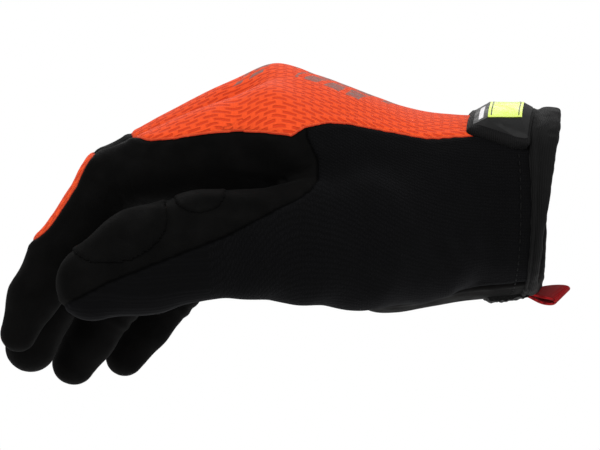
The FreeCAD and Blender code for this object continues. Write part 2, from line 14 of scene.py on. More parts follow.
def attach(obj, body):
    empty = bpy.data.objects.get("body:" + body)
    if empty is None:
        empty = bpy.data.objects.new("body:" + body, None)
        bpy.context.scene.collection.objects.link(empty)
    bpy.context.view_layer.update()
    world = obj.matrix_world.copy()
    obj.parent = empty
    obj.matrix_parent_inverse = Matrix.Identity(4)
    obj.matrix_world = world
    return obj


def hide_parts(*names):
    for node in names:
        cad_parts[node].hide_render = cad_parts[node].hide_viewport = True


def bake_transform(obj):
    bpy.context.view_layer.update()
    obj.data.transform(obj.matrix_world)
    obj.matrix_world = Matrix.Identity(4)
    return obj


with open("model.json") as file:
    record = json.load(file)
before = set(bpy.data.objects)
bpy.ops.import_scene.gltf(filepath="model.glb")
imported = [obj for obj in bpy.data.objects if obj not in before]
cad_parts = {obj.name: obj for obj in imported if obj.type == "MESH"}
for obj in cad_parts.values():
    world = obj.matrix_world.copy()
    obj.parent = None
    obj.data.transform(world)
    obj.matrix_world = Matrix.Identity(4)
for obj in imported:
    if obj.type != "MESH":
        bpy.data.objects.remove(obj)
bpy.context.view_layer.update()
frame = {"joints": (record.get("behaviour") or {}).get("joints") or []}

MM = 0.001
GRID = 1.3                      # spacing of the cloth surface before subdivision
SURFACE_LOW, SURFACE_HIGH = (-188.0, -72.0, -70.0), (9.0, 50.0, 54.0)      # box it is looked for in
RELAX_ROUNDS, RELAX_SHARE = 4, 0.6                  # evening out of the surface
FINGERS = ("index", "middle", "ring", "little")
FINGER_PITCH = 21.2
BAND_START = 13.0               # knuckle band: from here before the joint
BAND_END = 1.0                  # to here before the joint

# ---- the worn hand ------------------------------------------------------------

# distance from the cuff, top, bottom and half width of the hand there
HAND_SECTIONS = (
    (0, 29.7, -28.8, 34.3), (12, 29.2, -31.4, 34.4), (30, 29.6, -33.2, 35.3),
    (40, 30.7, -35.1, 36.8), (50, 32.8, -37.3, 38.6), (60, 36.5, -37.6, 40.2),
    (67, 39.5, -33.4, 41.3), (74, 42.1, -26.0, 42.0), (84, 45.0, -14.0, 42.4),
    (92, 45.2, -5.0, 41.8), (100, 42.5, 2.0, 39.5), (108, 38.0, 8.0, 36.0))
HAND_FRONT = 103.0
FRONT_ROUNDING = 14.0
HAND_POWER = 2.15               # 2 is an ellipse, more is squarer

# x, z and radius at the knuckle, the joints and the tip of each finger
FINGER_CHAINS = {
    "index": ((-96.0, 25.0, 11.4), (-145.1, 6.1, 10.2), (-161.8, -18.1, 9.8),
              (-170.1, -30.8, 8.1), (-174.9, -42.3, 5.8)),
    "middle": ((-94.0, 33.8, 11.6), (-147.3, 7.9, 10.2), (-165.1, -18.7, 9.9),
               (-169.8, -34.3, 10.3), (-174.2, -47.9, 8.6)),
    "ring": ((-90.0, 28.6, 11.2), (-126.7, -5.9, 10.1), (-150.4, -35.6, 9.9),
             (-157.0, -46.0, 9.0), (-162.6, -55.1, 7.4)),
    "little": ((-85.0, 20.6, 10.6), (-111.8, -7.8, 9.9), (-130.4, -32.0, 9.3),
               (-139.0, -43.5, 8.4), (-147.0, -54.6, 7.0))}
FINGER_FLAT = 0.90              # finger depth over height
FIRST_SWELL = 1.1               # fullness of the first phalanges halfway
# web between the index finger and the thumb: x, z and radius in the index's plane
INDEX_WEB = ((-92.0, 14.5, 12.5), (-112.0, 12.0, 10.8), (-131.0, 7.8, 8.6))
# x, y, z and half height along the thumb
THUMB_CHAIN = ((-46.0, -25.0, -10.5, 22.5), (-66.0, -36.5, -12.0, 22.3),
               (-84.0, -45.5, -12.8, 19.2), (-100.0, -51.5, -13.2, 16.9),
               (-115.2, -54.4, -14.0, 16.2), (-133.0, -55.4, -19.3, 16.0),
               (-147.8, -55.4, -25.0, 11.9))
THUMB_FLAT = 0.745              # thumb depth over height
THUMB_SPLIT = -108.0            # the thumb's own pieces lie beyond here
HAND_BLEND = 7.0
THUMB_BLEND = 5.0
BONE_BLEND = 2.5
WEB_BLEND = 4.0

# ---- seams ----------------------------------------------------------------------

# near side of the back panel's lower edge, x and z
BACK_SEAM = ((-150.0, 26.0), (-137.3, 21.1), (-131.9, 19.5), (-125.5, 19.8), (-111.3, 21.7),
             (-103.3, 22.0), (-93.8, 21.4), (-86.8, 20.4), (-82.7, 23.3), (-74.8, 25.2),
             (-68.4, 24.9), (-52.6, 22.0), (-43.1, 20.7), (-30.8, 21.5), (10.0, 21.5))
FAR_SEAM_HEIGHT = 21.0
SEAM_OVER_AXIS = 2.5            # back panel's edge above a finger's axis
# edge between the leather and the knit on the thumb side, x and z
THUMB_SEAM = ((-83.5, 34.0), (-82.0, 20.0), (-78.7, 12.8), (-78.7, 7.0), (-81.0, 3.4),
              (-106.0, -10.6), (-142.0, -24.7), (-153.0, -30.3), (-170.0, -39.0))
PALM_NEAR = -20.0
PALM_FAR = 30.0
STRIP_WIDTH = 0.33              # of a finger's half height, seen from the side
BAND_HALF_ANGLE = 76.0
CAP_HALF_ANGLE = 82.0
LITTLE_SIDE_END = -90.0         # x where the little-finger side's knit ends
WEBS_START = -86.0              # x where the finger webs begin
THUMB_NEAR = -43.0              # the thumb's cloth lies nearer than this
THUMB_KNUCKLE_END = -129.0      # x where the flexible part of the thumb's back ends
SKIN_SLACK = 1.5                # cloth this close to a digit's form belongs to it
CUT_SLACK = 1.8                 # the same, while seams are cut
SEAM_SNAP = 0.25                # points this close to a seam are moved onto it
DEGREE_LENGTH = 0.17            # rough length of one degree round a finger
VALLEY_DEPTH, VALLEY_WIDTH = 0.42, 0.7              # the cloth sinks at a seam
RIDGE_HEIGHT, RIDGE_WIDTH, RIDGE_PLACE = 0.16, 1.1, 2.1     # and rises beside it
# thumb pad patch, x and z of its lower edge
THUMB_PATCH = ((-160.0, -6.0), (-154.5, -15.1), (-151.0, -17.6), (-146.8, -18.8), (-139.2, -18.8),
               (-134.0, -17.4), (-130.1, -15.1), (-126.6, -11.8), (-124.9, -8.4), (-124.7, -5.0),
               (-125.5, -1.5), (-127.0, 4.0))
CROTCH_PATCH = (-115.2, 2.6, 7.9, 6.4)            # x, z and half sizes along them
PATCH_EDGE = 0.55                                 # height of a patch's edge, of the whole height
PATCH_SUNK = 0.25                                 # depth of its edge under the cloth

# cuff: x of the edge as a mean, a rise to the top, to the far side, twice round and askew
CUFF_EDGE = (0.4, 3.4, 4.5, -0.4, -1.0)
CLOTH_UNDER_BINDING = 1.7       # the cloth ends this far before the cuff's edge
BINDING_START = -10.2
SWEEP_COUNT = 260               # points round the wrist


def smooth_min(first, second, width):
    """Lower of two fields, rounded where they cross."""
    share = np.clip(0.5 + 0.5 * (second - first) / width, 0.0, 1.0)
    return second + (first - second) * share - width * share * (1.0 - share)


def smooth_max(first, second, width):
    return -smooth_min(-first, -second, width)


def smoothstep(low, high, value):
    share = np.clip((value - low) / (high - low), 0.0, 1.0)
    return share * share * (3.0 - 2.0 * share)


def bump(distance, width):
    return np.exp(-(distance / width) ** 2)


def smooth_table(rows):
    """The hand's sections every half millimetre, with their corners rounded."""
    rows = np.array(rows, float)
    fine = np.linspace(-20, 125, 291)
    kernel = np.exp(-0.5 * (np.arange(-12, 13) / 5.0) ** 2)
    table = [fine]
    for column in (1, 2, 3):
        values = np.pad(np.interp(fine, rows[:, 0], rows[:, column]), 12, mode="edge")
        table.append(np.convolve(values, kernel / kernel.sum(), mode="valid"))
    return table


SECTION_TABLE = smooth_table(HAND_SECTIONS)


def hand_section(x):
    """Height of the middle, half height and half width of the hand."""
    top, low, half = (np.interp(-x, SECTION_TABLE[0], column) for column in SECTION_TABLE[1:])
    return (top + low) / 2, (top - low) / 2, half


def swept_ball(points, start, end, start_radius, end_radius, swell=0.0):
    """Distance to a ball swept along a line while its radius changes."""
    axis = end - start
    share = np.clip((points - start) @ axis / (axis @ axis), 0.0, 1.0)
    away = np.linalg.norm(points - start - share[:, None] * axis, axis=1)
    radius = start_radius + (end_radius - start_radius) * share
    return away - radius - 4 * swell * share * (1 - share)


def hand_field(points):
    middle, tall, half = hand_section(points[:, 0])
    across = np.abs(points[:, 1]) / half
    up = np.abs(points[:, 2] - middle) / tall
    radial = (across ** HAND_POWER + up ** HAND_POWER) ** (1.0 / HAND_POWER)
    side = (radial - 1.0) * np.minimum(tall, half) * (0.5 + 0.5 * radial.clip(0.4, 1.6))
    return smooth_max(side, -points[:, 0] - HAND_FRONT, FRONT_ROUNDING)


def finger_plane(finger):
    return (FINGERS.index(finger) - 1.5) * FINGER_PITCH


def chain_field(points, chain, swell=0.0):
    field = None
    for low, high in zip(chain[:-1], chain[1:]):
        bone = swept_ball(points, np.array(low[:3]), np.array(high[:3]), low[3], high[3],
                          swell if field is None else 0.0)
        field = bone if field is None else smooth_min(field, bone, BONE_BLEND)
    return field


def finger_field(points, finger):
    local = points.copy()
    local[:, 1] = (local[:, 1] - finger_plane(finger)) / FINGER_FLAT
    chain = [(x, 0.0, z, radius) for x, z, radius in FINGER_CHAINS[finger]]
    field = chain_field(local, chain, FIRST_SWELL)
    if finger == "index":
        web = chain_field(local, [(x, 0.0, z, radius) for x, z, radius in INDEX_WEB])
        field = smooth_min(field, web, WEB_BLEND)
    return field


def thumb_field(points):
    local = points / np.array([1.0, THUMB_FLAT, 1.0])
    return chain_field(local, [(x, y / THUMB_FLAT, z, radius) for x, y, z, radius in THUMB_CHAIN])


def glove_field(points):
    hand = hand_field(points)
    whole = smooth_min(hand, thumb_field(points), THUMB_BLEND)
    for finger in FINGERS:
        whole = np.minimum(whole, smooth_min(hand, finger_field(points, finger), HAND_BLEND))
    return whole


# ---- from the field to an even mesh -----------------------------------------------

def surface_net(field, low, step):
    """Quads on the zero level of a sampled field."""
    inside = field < 0
    shape = tuple(count - 1 for count in field.shape)
    total = np.zeros(shape + (3,))
    count = np.zeros(shape)

    def corner(block, offset):
        i, j, k = offset
        return block[i:shape[0] + i, j:shape[1] + j, k:shape[2] + k]

    for axis in range(3):
        others = [other for other in range(3) if other != axis]
        for first, second in ((0, 0), (0, 1), (1, 0), (1, 1)):
            offset = [0, 0, 0]
            offset[others[0]] = first
            offset[others[1]] = second
            ahead = list(offset)
            ahead[axis] = 1
            near, far = corner(field, offset), corner(field, ahead)
            crossed = corner(inside, offset) != corner(inside, ahead)
            total[..., axis] += np.where(crossed, near / np.where(crossed, near - far, 1.0), 0.0)
            total[..., others[0]] += crossed * first
            total[..., others[1]] += crossed * second
            count += crossed
    used = count > 0
    number = np.full(shape, -1)
    number[used] = np.arange(used.sum())
    vertices = low + (np.argwhere(used) + total[used] / count[used][:, None]) * step
    quads = []
    for axis in range(3):
        first, second = [(1, 2), (2, 0), (0, 1)][axis]
        crossed = inside != np.roll(inside, -1, axis)
        index = np.argwhere(crossed)
        keep = (index[:, axis] < shape[axis]) & (index[:, first] > 0) & (index[:, second] > 0)
        keep &= (index[:, first] < shape[first]) & (index[:, second] < shape[second])
        index = index[keep]
        ring = []
        for back_first, back_second in ((0, 0), (1, 0), (1, 1), (0, 1)):
            cell = index.copy()
            cell[:, first] -= back_first
            cell[:, second] -= back_second
            ring.append(number[cell[:, 0], cell[:, 1], cell[:, 2]])
        ring = np.array(ring).T
        leaving = inside[index[:, 0], index[:, 1], index[:, 2]]
        ring[~leaving] = ring[~leaving][:, ::-1]
        quads.append(ring)
    return vertices, np.concatenate(quads)


def gradient(function, points, reach=0.2):
    result = np.empty_like(points)
    for axis in range(3):
        shift = np.zeros(3)
        shift[axis] = reach
        result[:, axis] = (function(points + shift) - function(points - shift)) / (2 * reach)
    return result


def settle(points, function, rounds=1):
    """Move points onto the function's zero level."""
    for _ in range(rounds):
        slope = gradient(function, points)
        steep = np.maximum((slope ** 2).sum(1), 1e-6)
        points = points - (function(points) / steep)[:, None] * slope
    return points


def neighbour_mean(vertices, quads):
    total = np.zeros_like(vertices)
    count = np.zeros(len(vertices))
    for side in range(4):
        for near, far in ((quads[:, side], quads[:, (side + 1) % 4]),
                          (quads[:, (side + 1) % 4], quads[:, side])):
            for axis in range(3):
                total[:, axis] += np.bincount(near, vertices[far, axis], len(vertices))
            count += np.bincount(near, minlength=len(vertices))
    return total / count[:, None]


def cloth_surface():
    low, high = np.array(SURFACE_LOW), np.array(SURFACE_HIGH)
    counts = ((high - low) / GRID).astype(int) + 1
    axes = [low[axis] + GRID * np.arange(counts[axis]) for axis in range(3)]
    samples = np.stack(np.meshgrid(*axes, indexing="ij"), -1).reshape(-1, 3)
    vertices, quads = surface_net(glove_field(samples).reshape(counts), low, GRID)
    vertices = settle(vertices, glove_field, 2)
    for _ in range(RELAX_ROUNDS):
        vertices += RELAX_SHARE * (neighbour_mean(vertices, quads) - vertices)
        vertices = settle(vertices, glove_field)
    return vertices, quads


# ---- places on the cloth ------------------------------------------------------------

def smooth_line(control, count):
    """Smooth curve through all control points but the first and the last."""
    share = np.linspace(0, 1, count, endpoint=False)[:, None]
    return np.vstack([
        0.5 * (2 * start + (end - before) * share
               + (2 * before - 5 * start + 4 * end - after) * share ** 2
               + (3 * start - before - 3 * end + after) * share ** 3)
        for before, start, end, after in zip(control, control[1:], control[2:], control[3:])])


def closed_curve(points, count):
    """Smooth closed curve through the points, evenly divided."""
    points = np.array(points, float)
    return smooth_line(np.vstack([points[-1:], points, points[:2]]), count)


def finger_axis(finger):
    """Fine smooth axis of a finger: x and z, run from the middle joint, run of the end joint."""
    points = np.array(FINGER_CHAINS[finger])[:, :2]
    ahead = points[-1] + (points[-1] - points[-2])
    behind = points[0] - (points[1] - points[0])
    line = np.vstack([smooth_line(np.vstack([behind, points, ahead]), 120), points[-1:]])
    line = np.vstack([line, line[-1] + (line[-1] - line[-2]) * np.arange(1, 40)[:, None]])
    run = np.concatenate([[0], np.cumsum(np.linalg.norm(np.diff(line, axis=0), axis=1))])
    joint, end_joint = (np.argmin(np.linalg.norm(line - point, axis=1)) for point in points[1:3])
    return line, run - run[joint], run[end_joint] - run[joint]


AXES = {finger: finger_axis(finger) for finger in FINGERS}


def finger_place(points, finger):
    """Run from the middle joint, height over the axis and side of each point."""
    line, run, _ = AXES[finger]
    flat = points[:, [0, 2]]
    nearest = np.empty(len(points), int)
    for start in range(0, len(points), 4000):
        part = flat[start:start + 4000]
        square = ((part[:, None, :] - line[None]) ** 2).sum(2)
        nearest[start:start + 4000] = square.argmin(1)
    tangent = np.gradient(line, axis=0)
    tangent /= np.linalg.norm(tangent, axis=1)[:, None]
    away = flat - line[nearest]
    along = run[nearest] + (away * tangent[nearest]).sum(1)
    normal = np.stack([tangent[:, 1], -tangent[:, 0]], 1)[nearest]
    return along, (away * normal).sum(1), points[:, 1] - finger_plane(finger)


def finger_angle(height, side):
    """Degrees round the finger from the middle of its back."""
    return np.degrees(np.arctan2(np.abs(side) / FINGER_FLAT, height))


def line_side(points, line, columns=(0, 2)):
    """Signed distance from an open line in a plane, positive on its left."""
    flat = points[:, columns]
    best = np.full(len(points), 1e9)
    signed = np.zeros(len(points))
    line = np.array(line)
    for start, end in zip(line[:-1], line[1:]):
        axis = end - start
        share = np.clip((flat - start) @ axis / (axis @ axis), 0.0, 1.0)
        away = flat - start - share[:, None] * axis
        distance = np.linalg.norm(away, axis=1)
        cross = axis[0] * (flat[:, 1] - start[1]) - axis[1] * (flat[:, 0] - start[0])
        closer = distance < best
        best = np.where(closer, distance, best)
        signed = np.where(closer, np.copysign(distance, cross), signed)
    return signed


def axis_height(x, finger):
    line = AXES[finger][0]
    return np.interp(-x, -line[:, 0], line[:, 1])


def back_level(points):
    """Height over the lower edge of the back panel."""
    x, y, z = points.T
    near = np.interp(x, *np.array(BACK_SEAM).T)
    rows = [near]
    for finger in FINGERS[1:]:
        joint_x = FINGER_CHAINS[finger][1][0]
        rise = SEAM_OVER_AXIS + 6.0 * smoothstep(joint_x + 30.0, joint_x + 9.0, x)
        on_hand = near if finger == "middle" else FAR_SEAM_HEIGHT
        on_finger = smoothstep(-86.0, -98.0, x)
        rows.append(on_hand + (axis_height(x, finger) + rise - on_hand) * on_finger)
    place = np.clip(y / FINGER_PITCH + 1.5, 0.0, 3.0)
    lower = np.minimum(place.astype(int), 2)
    share = smoothstep(0.0, 1.0, place - lower)
    table = np.array(rows)
    column = np.arange(len(points))
    return z - (table[lower, column] * (1 - share) + table[lower + 1, column] * share)


def thumb_level(points):
    """Positive on the knit side of the thumb seam."""
    return line_side(points, THUMB_SEAM)


def digit_place(points, finger, slack):
    """Which points lie on a finger's tube, and their run and angle there."""
    close = np.abs(points[:, 1] - finger_plane(finger)) < FINGER_PITCH / 2
    close &= points[:, 0] < FINGER_CHAINS[finger][1][0] + 32.0
    close[close] = finger_field(points[close], finger) < slack
    along, angle = np.full(len(points), -99.0), np.full(len(points), 180.0)
    run, height, side = finger_place(points[close], finger)
    along[close], angle[close] = run, finger_angle(height, side)
    return close, along, angle


# pieces of the shell, in the order of their numbers
PIECES = ["back_panel", "thumb_knit_panel", "thumb_leather_panel", "palm_panel", "finger_webs",
          "little_side_panel", "thumb_knuckle", "thumb_back", "thumb_front"]
for finger in FINGERS:
    PIECES += [f"{finger}_{part}" for part in ("sleeve", "knuckle", "back", "front", "tip_cap")]
NUMBER = {name: number for number, name in enumerate(PIECES)}
KNIT_PIECES = ("little_side_panel", "thumb_knit_panel", "thumb_knuckle", "thumb_back")


def material_of(name):
    if name in KNIT_PIECES:
        return "black_knit"
    return "orange_mesh" if name == "back_panel" or name.endswith("_back") else "black_leather"


def strip_angle(along, end_joint):
    """Half angle of the strip on a finger's middle phalanx: a lens from joint to joint."""
    share = np.clip((along + BAND_END) / (end_joint + BAND_END), 0.0, 1.0)
    return np.degrees(np.arccos(1.0 - STRIP_WIDTH * np.sin(np.pi * share) ** 0.8))


def piece_of(points):
    """Number of the piece that each point of the shell belongs to."""
    x, y, _ = points.T
    back = back_level(points) > 0
    piece = np.full(len(points), NUMBER["palm_panel"])
    near_side = (y < PALM_NEAR) & ~back
    knit = thumb_level(points) > 0
    piece[near_side & knit] = NUMBER["thumb_knit_panel"]
    piece[near_side & ~knit] = NUMBER["thumb_leather_panel"]
    piece[(y > PALM_FAR) & ~back & (x > LITTLE_SIDE_END)] = NUMBER["little_side_panel"]
    piece[(x < WEBS_START) & (y > PALM_NEAR) & ~back] = NUMBER["finger_webs"]
    piece[back] = NUMBER["back_panel"]
    thumb = (thumb_field(points) < SKIN_SLACK) & (x < THUMB_SPLIT) & (y < THUMB_NEAR)
    piece[thumb & ~knit] = NUMBER["thumb_front"]
    piece[thumb & knit] = NUMBER["thumb_back"]
    piece[thumb & knit & (x > THUMB_KNUCKLE_END)] = NUMBER["thumb_knuckle"]
    for finger in FINGERS:
        close, along, angle = digit_place(points, finger, SKIN_SLACK)
        close &= ~thumb
        end_joint = AXES[finger][2]
        sleeve = close & (along > -32.0) & (along <= -BAND_START) & ~back
        piece[sleeve] = NUMBER[f"{finger}_sleeve"]
        digit = close & (along > -BAND_START)
        piece[digit] = NUMBER[f"{finger}_front"]
        piece[digit & (along < -BAND_END) & (angle < BAND_HALF_ANGLE)] = NUMBER[f"{finger}_knuckle"]
        strip = digit & (along > -BAND_END) & (along < end_joint)
        piece[strip & (angle < strip_angle(along, end_joint))] = NUMBER[f"{finger}_back"]
        piece[digit & (along > end_joint) & (angle < CAP_HALF_ANGLE)] = NUMBER[f"{finger}_tip_cap"]
    return piece


def cut_line(mesh, level, where, fixed):
    """Add edges along the zero line of a function of place, on part of the mesh."""
    mesh.verts.index_update()
    verts, edges = mesh.verts[:], mesh.edges[:]
    coords = np.array([vert.co for vert in verts])
    chosen = np.flatnonzero(where(coords))
    values = np.full(len(coords), np.nan)
    values[chosen] = level(coords[chosen])
    near = np.flatnonzero(np.abs(values) < SEAM_SNAP)
    if len(near):
        slope = gradient(level, coords[near])
        shift = (values[near] / np.maximum((slope ** 2).sum(1), 1e-4))[:, None] * slope
        moved = settle(coords[near] - shift, glove_field)
        for number, place in zip(near, moved):
            if not verts[number][fixed]:
                verts[number].co = place
        values[near] = 0.0
    ends = np.array([(edge.verts[0].index, edge.verts[1].index) for edge in edges])
    crossing = np.flatnonzero(values[ends[:, 0]] * values[ends[:, 1]] < 0)
    sign = {verts[number]: np.sign(values[number]) for number in chosen}
    for number in crossing:
        first, second = ends[number]
        share = values[first] / (values[first] - values[second])
        _, vert = bmesh.utils.edge_split(edges[number], verts[first], share)
        sign[vert] = 0.0
    on_line = [vert for vert, value in sign.items() if value == 0.0]
    faces = {face for vert in on_line for face in vert.link_faces}
    for face in faces:
        ring = face.verts[:]
        signs = {sign.get(vert) for vert in ring}
        if not {-1.0, 1.0} <= signs:
            continue
        marks = [place for place, vert in enumerate(ring) if sign.get(vert) == 0.0]
        for first in marks:
            second = next((mark for mark in marks if 1 < mark - first < len(ring) - 1), None)
            if second is not None:
                bmesh.utils.face_split(face, ring[first], ring[second])
                break
    for vert in on_line:
        vert[fixed] = 1


def on_fixed_shell(points):
    """The part that doesn't belong to a bending finger."""
    free = np.ones(len(points), bool)
    for finger in FINGERS:
        close, along, _ = digit_place(points, finger, CUT_SLACK)
        free &= ~(close & (along > -BAND_START + 1.0))
    return free


def cut_seams(mesh, fixed):
    for level, where in (
            (back_level, on_fixed_shell),
            (thumb_level, lambda points: (points[:, 1] < -38.0) & (back_level(points) < 0.5)),
            (lambda points: points[:, 1] - PALM_NEAR,
             lambda points: (points[:, 2] < 0.0) & (points[:, 0] > -100.0)),
            (lambda points: points[:, 1] - PALM_FAR,
             lambda points: (points[:, 2] < 16.0) & (points[:, 0] > -92.0))):
        cut_line(mesh, level, where, fixed)
    for finger in FINGERS:
        end_joint = AXES[finger][2]

        def across(run):
            return lambda points: finger_place(points, finger)[0] - run

        def lengthwise(half_angle):
            def level(points):
                run, height, side = finger_place(points, finger)
                return (finger_angle(height, side) - half_angle(run)) * DEGREE_LENGTH
            return level

        def strip(run):
            return strip_angle(run, end_joint)

        # the seam, and the part of the finger where it is cut: its run from and to, and half angle
        band_start, strip_start = -BAND_START, -BAND_END
        for level, low, high, reach in (
                (across(band_start), band_start - 4, band_start + 4, BAND_HALF_ANGLE + 5),
                (lengthwise(lambda run: BAND_HALF_ANGLE), band_start - 0.1, strip_start + 0.1, 120),
                (across(strip_start), strip_start - 4, strip_start + 4, BAND_HALF_ANGLE + 0.5),
                (lengthwise(strip), strip_start - 0.1, end_joint + 0.1, 90.0),
                (across(end_joint), end_joint - 4, end_joint + 4, CAP_HALF_ANGLE + 0.5),
                (lengthwise(lambda run: CAP_HALF_ANGLE), end_joint - 0.1, 90.0, 130.0)):

            def on_digit(points):
                close, along, angle = digit_place(points, finger, CUT_SLACK)
                return close & (along > low) & (along < high) & (angle < reach)

            cut_line(mesh, level, on_digit, fixed)


def cuff_edge(points):
    """Where the cuff ends along X, round the wrist."""
    turn = np.arctan2(points[..., 2], points[..., 1])
    mean, rise, far, twice, askew = CUFF_EDGE
    return (mean + rise * np.sin(turn) + far * np.cos(turn) + twice * np.cos(2 * turn)
            + askew * np.sin(2 * turn))


def build_shell():
    """The cloth surface with its seams cut in, as vertices, quads and piece numbers."""
    vertices, quads = cloth_surface()
    keep = (vertices[:, 0] < cuff_edge(vertices) - CLOTH_UNDER_BINDING)[quads].all(1)
    used, quads = np.unique(quads[keep], return_inverse=True)
    data = bpy.data.meshes.new("shell")
    data.from_pydata(vertices[used].tolist(), [], quads.reshape(-1, 4).tolist())
    mesh = bmesh.new()
    mesh.from_mesh(data)
    fixed = mesh.verts.layers.int.new("fixed")
    cut_seams(mesh, fixed)
    centres = np.array([face.calc_center_median() for face in mesh.faces])
    for face, number in zip(mesh.faces, piece_of(centres)):
        face.material_index = int(number)
    mesh.to_mesh(data)
    mesh.free()
    holder = bpy.data.objects.new("shell", data)
    bpy.context.scene.collection.objects.link(holder)
    divide = holder.modifiers.new("divide", "SUBSURF")
    divide.levels = divide.render_levels = 1
    evaluated = holder.evaluated_get(bpy.context.evaluated_depsgraph_get())
    fine = bpy.data.meshes.new_from_object(evaluated)
    coords = np.empty(len(fine.vertices) * 3)
    fine.vertices.foreach_get("co", coords)
    corners = np.empty(len(fine.loops), int)
    fine.loops.foreach_get("vertex_index", corners)
    pieces = np.empty(len(fine.polygons), int)
    fine.polygons.foreach_get("material_index", pieces)
    bpy.data.objects.remove(holder)
    bpy.data.meshes.remove(data)
    bpy.data.meshes.remove(fine)
    return coords.reshape(-1, 3), corners.reshape(-1, 4), pieces


def vertex_normals(vertices, quads):
    across = np.cross(vertices[quads[:, 2]] - vertices[quads[:, 0]],
                      vertices[quads[:, 3]] - vertices[quads[:, 1]])
    normals = np.zeros_like(vertices)
    for side in range(4):
        for axis in range(3):
            normals[:, axis] += np.bincount(quads[:, side], across[:, axis], len(vertices))
    return normals / np.maximum(np.linalg.norm(normals, axis=1), 1e-9)[:, None]


def seam_distance(vertices, quads, groups, reach=6.0):
    """Distance of each point to the nearest seam, up to `reach`."""
    low = np.full(len(vertices), 999)
    high = np.full(len(vertices), -1)
    for side in range(4):
        np.minimum.at(low, quads[:, side], groups)
        np.maximum.at(high, quads[:, side], groups)
    seam = np.flatnonzero(low != high)
    tree = kdtree.KDTree(len(seam))
    for number, vertex in enumerate(seam):
        tree.insert(vertices[vertex], number)
    tree.balance()
    return np.array([min(tree.find(place)[2], reach) for place in vertices])


def cloth_noise(points, size, offset=0.0):
    return np.array([noise.noise(Vector(place)) for place in points / size + offset])


PUCKER_DEPTH, PUCKER_SIZE, PUCKER_REACH = 0.22, 3.4, 2.5        # small waves beside the seams
WAVES = ((0.45, 19.0, 3.7), (0.14, 7.0, 9.1))       # all over: depth, size and start of the noise
# folds of the worn cloth: two ends on the near side as x and z, width and depth
FOLDS = (
    ((-31.0, -30.0), (-44.0, -13.0), 3.0, 0.7), ((-38.0, -33.0), (-52.0, -14.0), 3.2, 0.6),
    ((-26.0, -26.0), (-36.0, -9.0), 2.6, 0.5), ((-47.0, -35.0), (-60.0, -20.0), 3.4, 0.45),
    ((-104.0, 16.0), (-84.0, 5.0), 4.0, 0.9), ((-112.0, 8.0), (-86.0, 1.0), 3.2, 0.8),
    ((-118.0, -1.0), (-92.0, -3.5), 2.4, 0.6), ((-97.0, -8.0), (-84.0, 2.0), 3.0, 0.5),
    ((-131.0, -16.0), (-127.0, -27.0), 2.6, 0.5), ((-126.0, -14.0), (-122.0, -27.0), 2.4, 0.4),
    ((-20.0, 12.0), (-24.0, -8.0), 3.0, 0.35), ((-62.0, 14.0), (-78.0, 4.0), 4.0, 0.45))


def fold_depth(points):
    """Depth of the folds; they show on the thumb side and fade round the glove."""
    depth = np.zeros(len(points))
    for start, end, width, deep in FOLDS:
        near, far = np.array(start), np.array(end)
        axis = far - near
        flat = points[:, [0, 2]]
        share = (flat - near) @ axis / (axis @ axis)
        away = np.linalg.norm(flat - near - np.clip(share, 0, 1)[:, None] * axis, axis=1)
        fade = smoothstep(-0.25, 0.25, share) * smoothstep(1.25, 0.75, share)
        depth += deep * fade * (bump(away, width) - 0.35 * bump(away - 1.7 * width, width))
    return depth * smoothstep(-12.0, -26.0, points[:, 1])


def knuckle_creases(points):
    """Small cross folds on the palm side of each finger's joints."""
    depth = np.zeros(len(points))
    for finger in FINGERS:
        along, height, side = finger_place(points, finger)
        close = (finger_field(points, finger) < 2.5) & (height < -1.0) & (along > -28.0)
        inner = smoothstep(-1.0, -6.0, height) * close
        end_joint = AXES[finger][2]
        for place, deep, width in ((0.0, 1.0, 1.9), (-5.0, 0.55, 1.5), (5.0, 0.55, 1.5),
                                   (end_joint, 0.6, 1.6), (end_joint + 4.5, 0.35, 1.4)):
            depth += inner * deep * bump(along - place, width)
    return depth


def dress_shell(vertices, quads, pieces):
    """Sink the seams, raise their edges and fold the cloth; returns places and seam distance."""
    cloths = [material_of(name) for name in PIECES]
    groups = np.array([cloths.index(cloth) for cloth in cloths])[pieces]
    distance = seam_distance(vertices, quads, groups)
    normals = vertex_normals(vertices, quads)
    shift = RIDGE_HEIGHT * bump(distance - RIDGE_PLACE, RIDGE_WIDTH)
    shift -= VALLEY_DEPTH * bump(distance, VALLEY_WIDTH)
    shift += PUCKER_DEPTH * cloth_noise(vertices, PUCKER_SIZE) * np.exp(-distance / PUCKER_REACH)
    for depth, size, start in WAVES:
        shift += depth * cloth_noise(vertices, size, start)
    shift -= fold_depth(vertices) + knuckle_creases(vertices)
    return vertices + shift[:, None] * normals, distance


def hand_arcs():
    """Arc length round the hand for each section and angle, from the top, and along its top."""
    runs = np.linspace(-10, 112, 123)
    angles = np.linspace(0, math.pi, 91)
    middle, tall, half = hand_section(-runs)
    power = 2.0 / HAND_POWER
    across = half[:, None] * np.abs(np.sin(angles)) ** power
    up = np.where(np.cos(angles) > 0, 1, -1) * np.abs(np.cos(angles)) ** power * tall[:, None]
    steps = np.hypot(np.diff(across, axis=1), np.diff(up, axis=1))
    arcs = np.concatenate([np.zeros((len(runs), 1)), np.cumsum(steps, axis=1)], axis=1)
    top = middle + tall
    length = np.concatenate([[0], np.cumsum(np.hypot(np.diff(runs), np.diff(top)))]) - 10.0
    return runs, angles, arcs, length


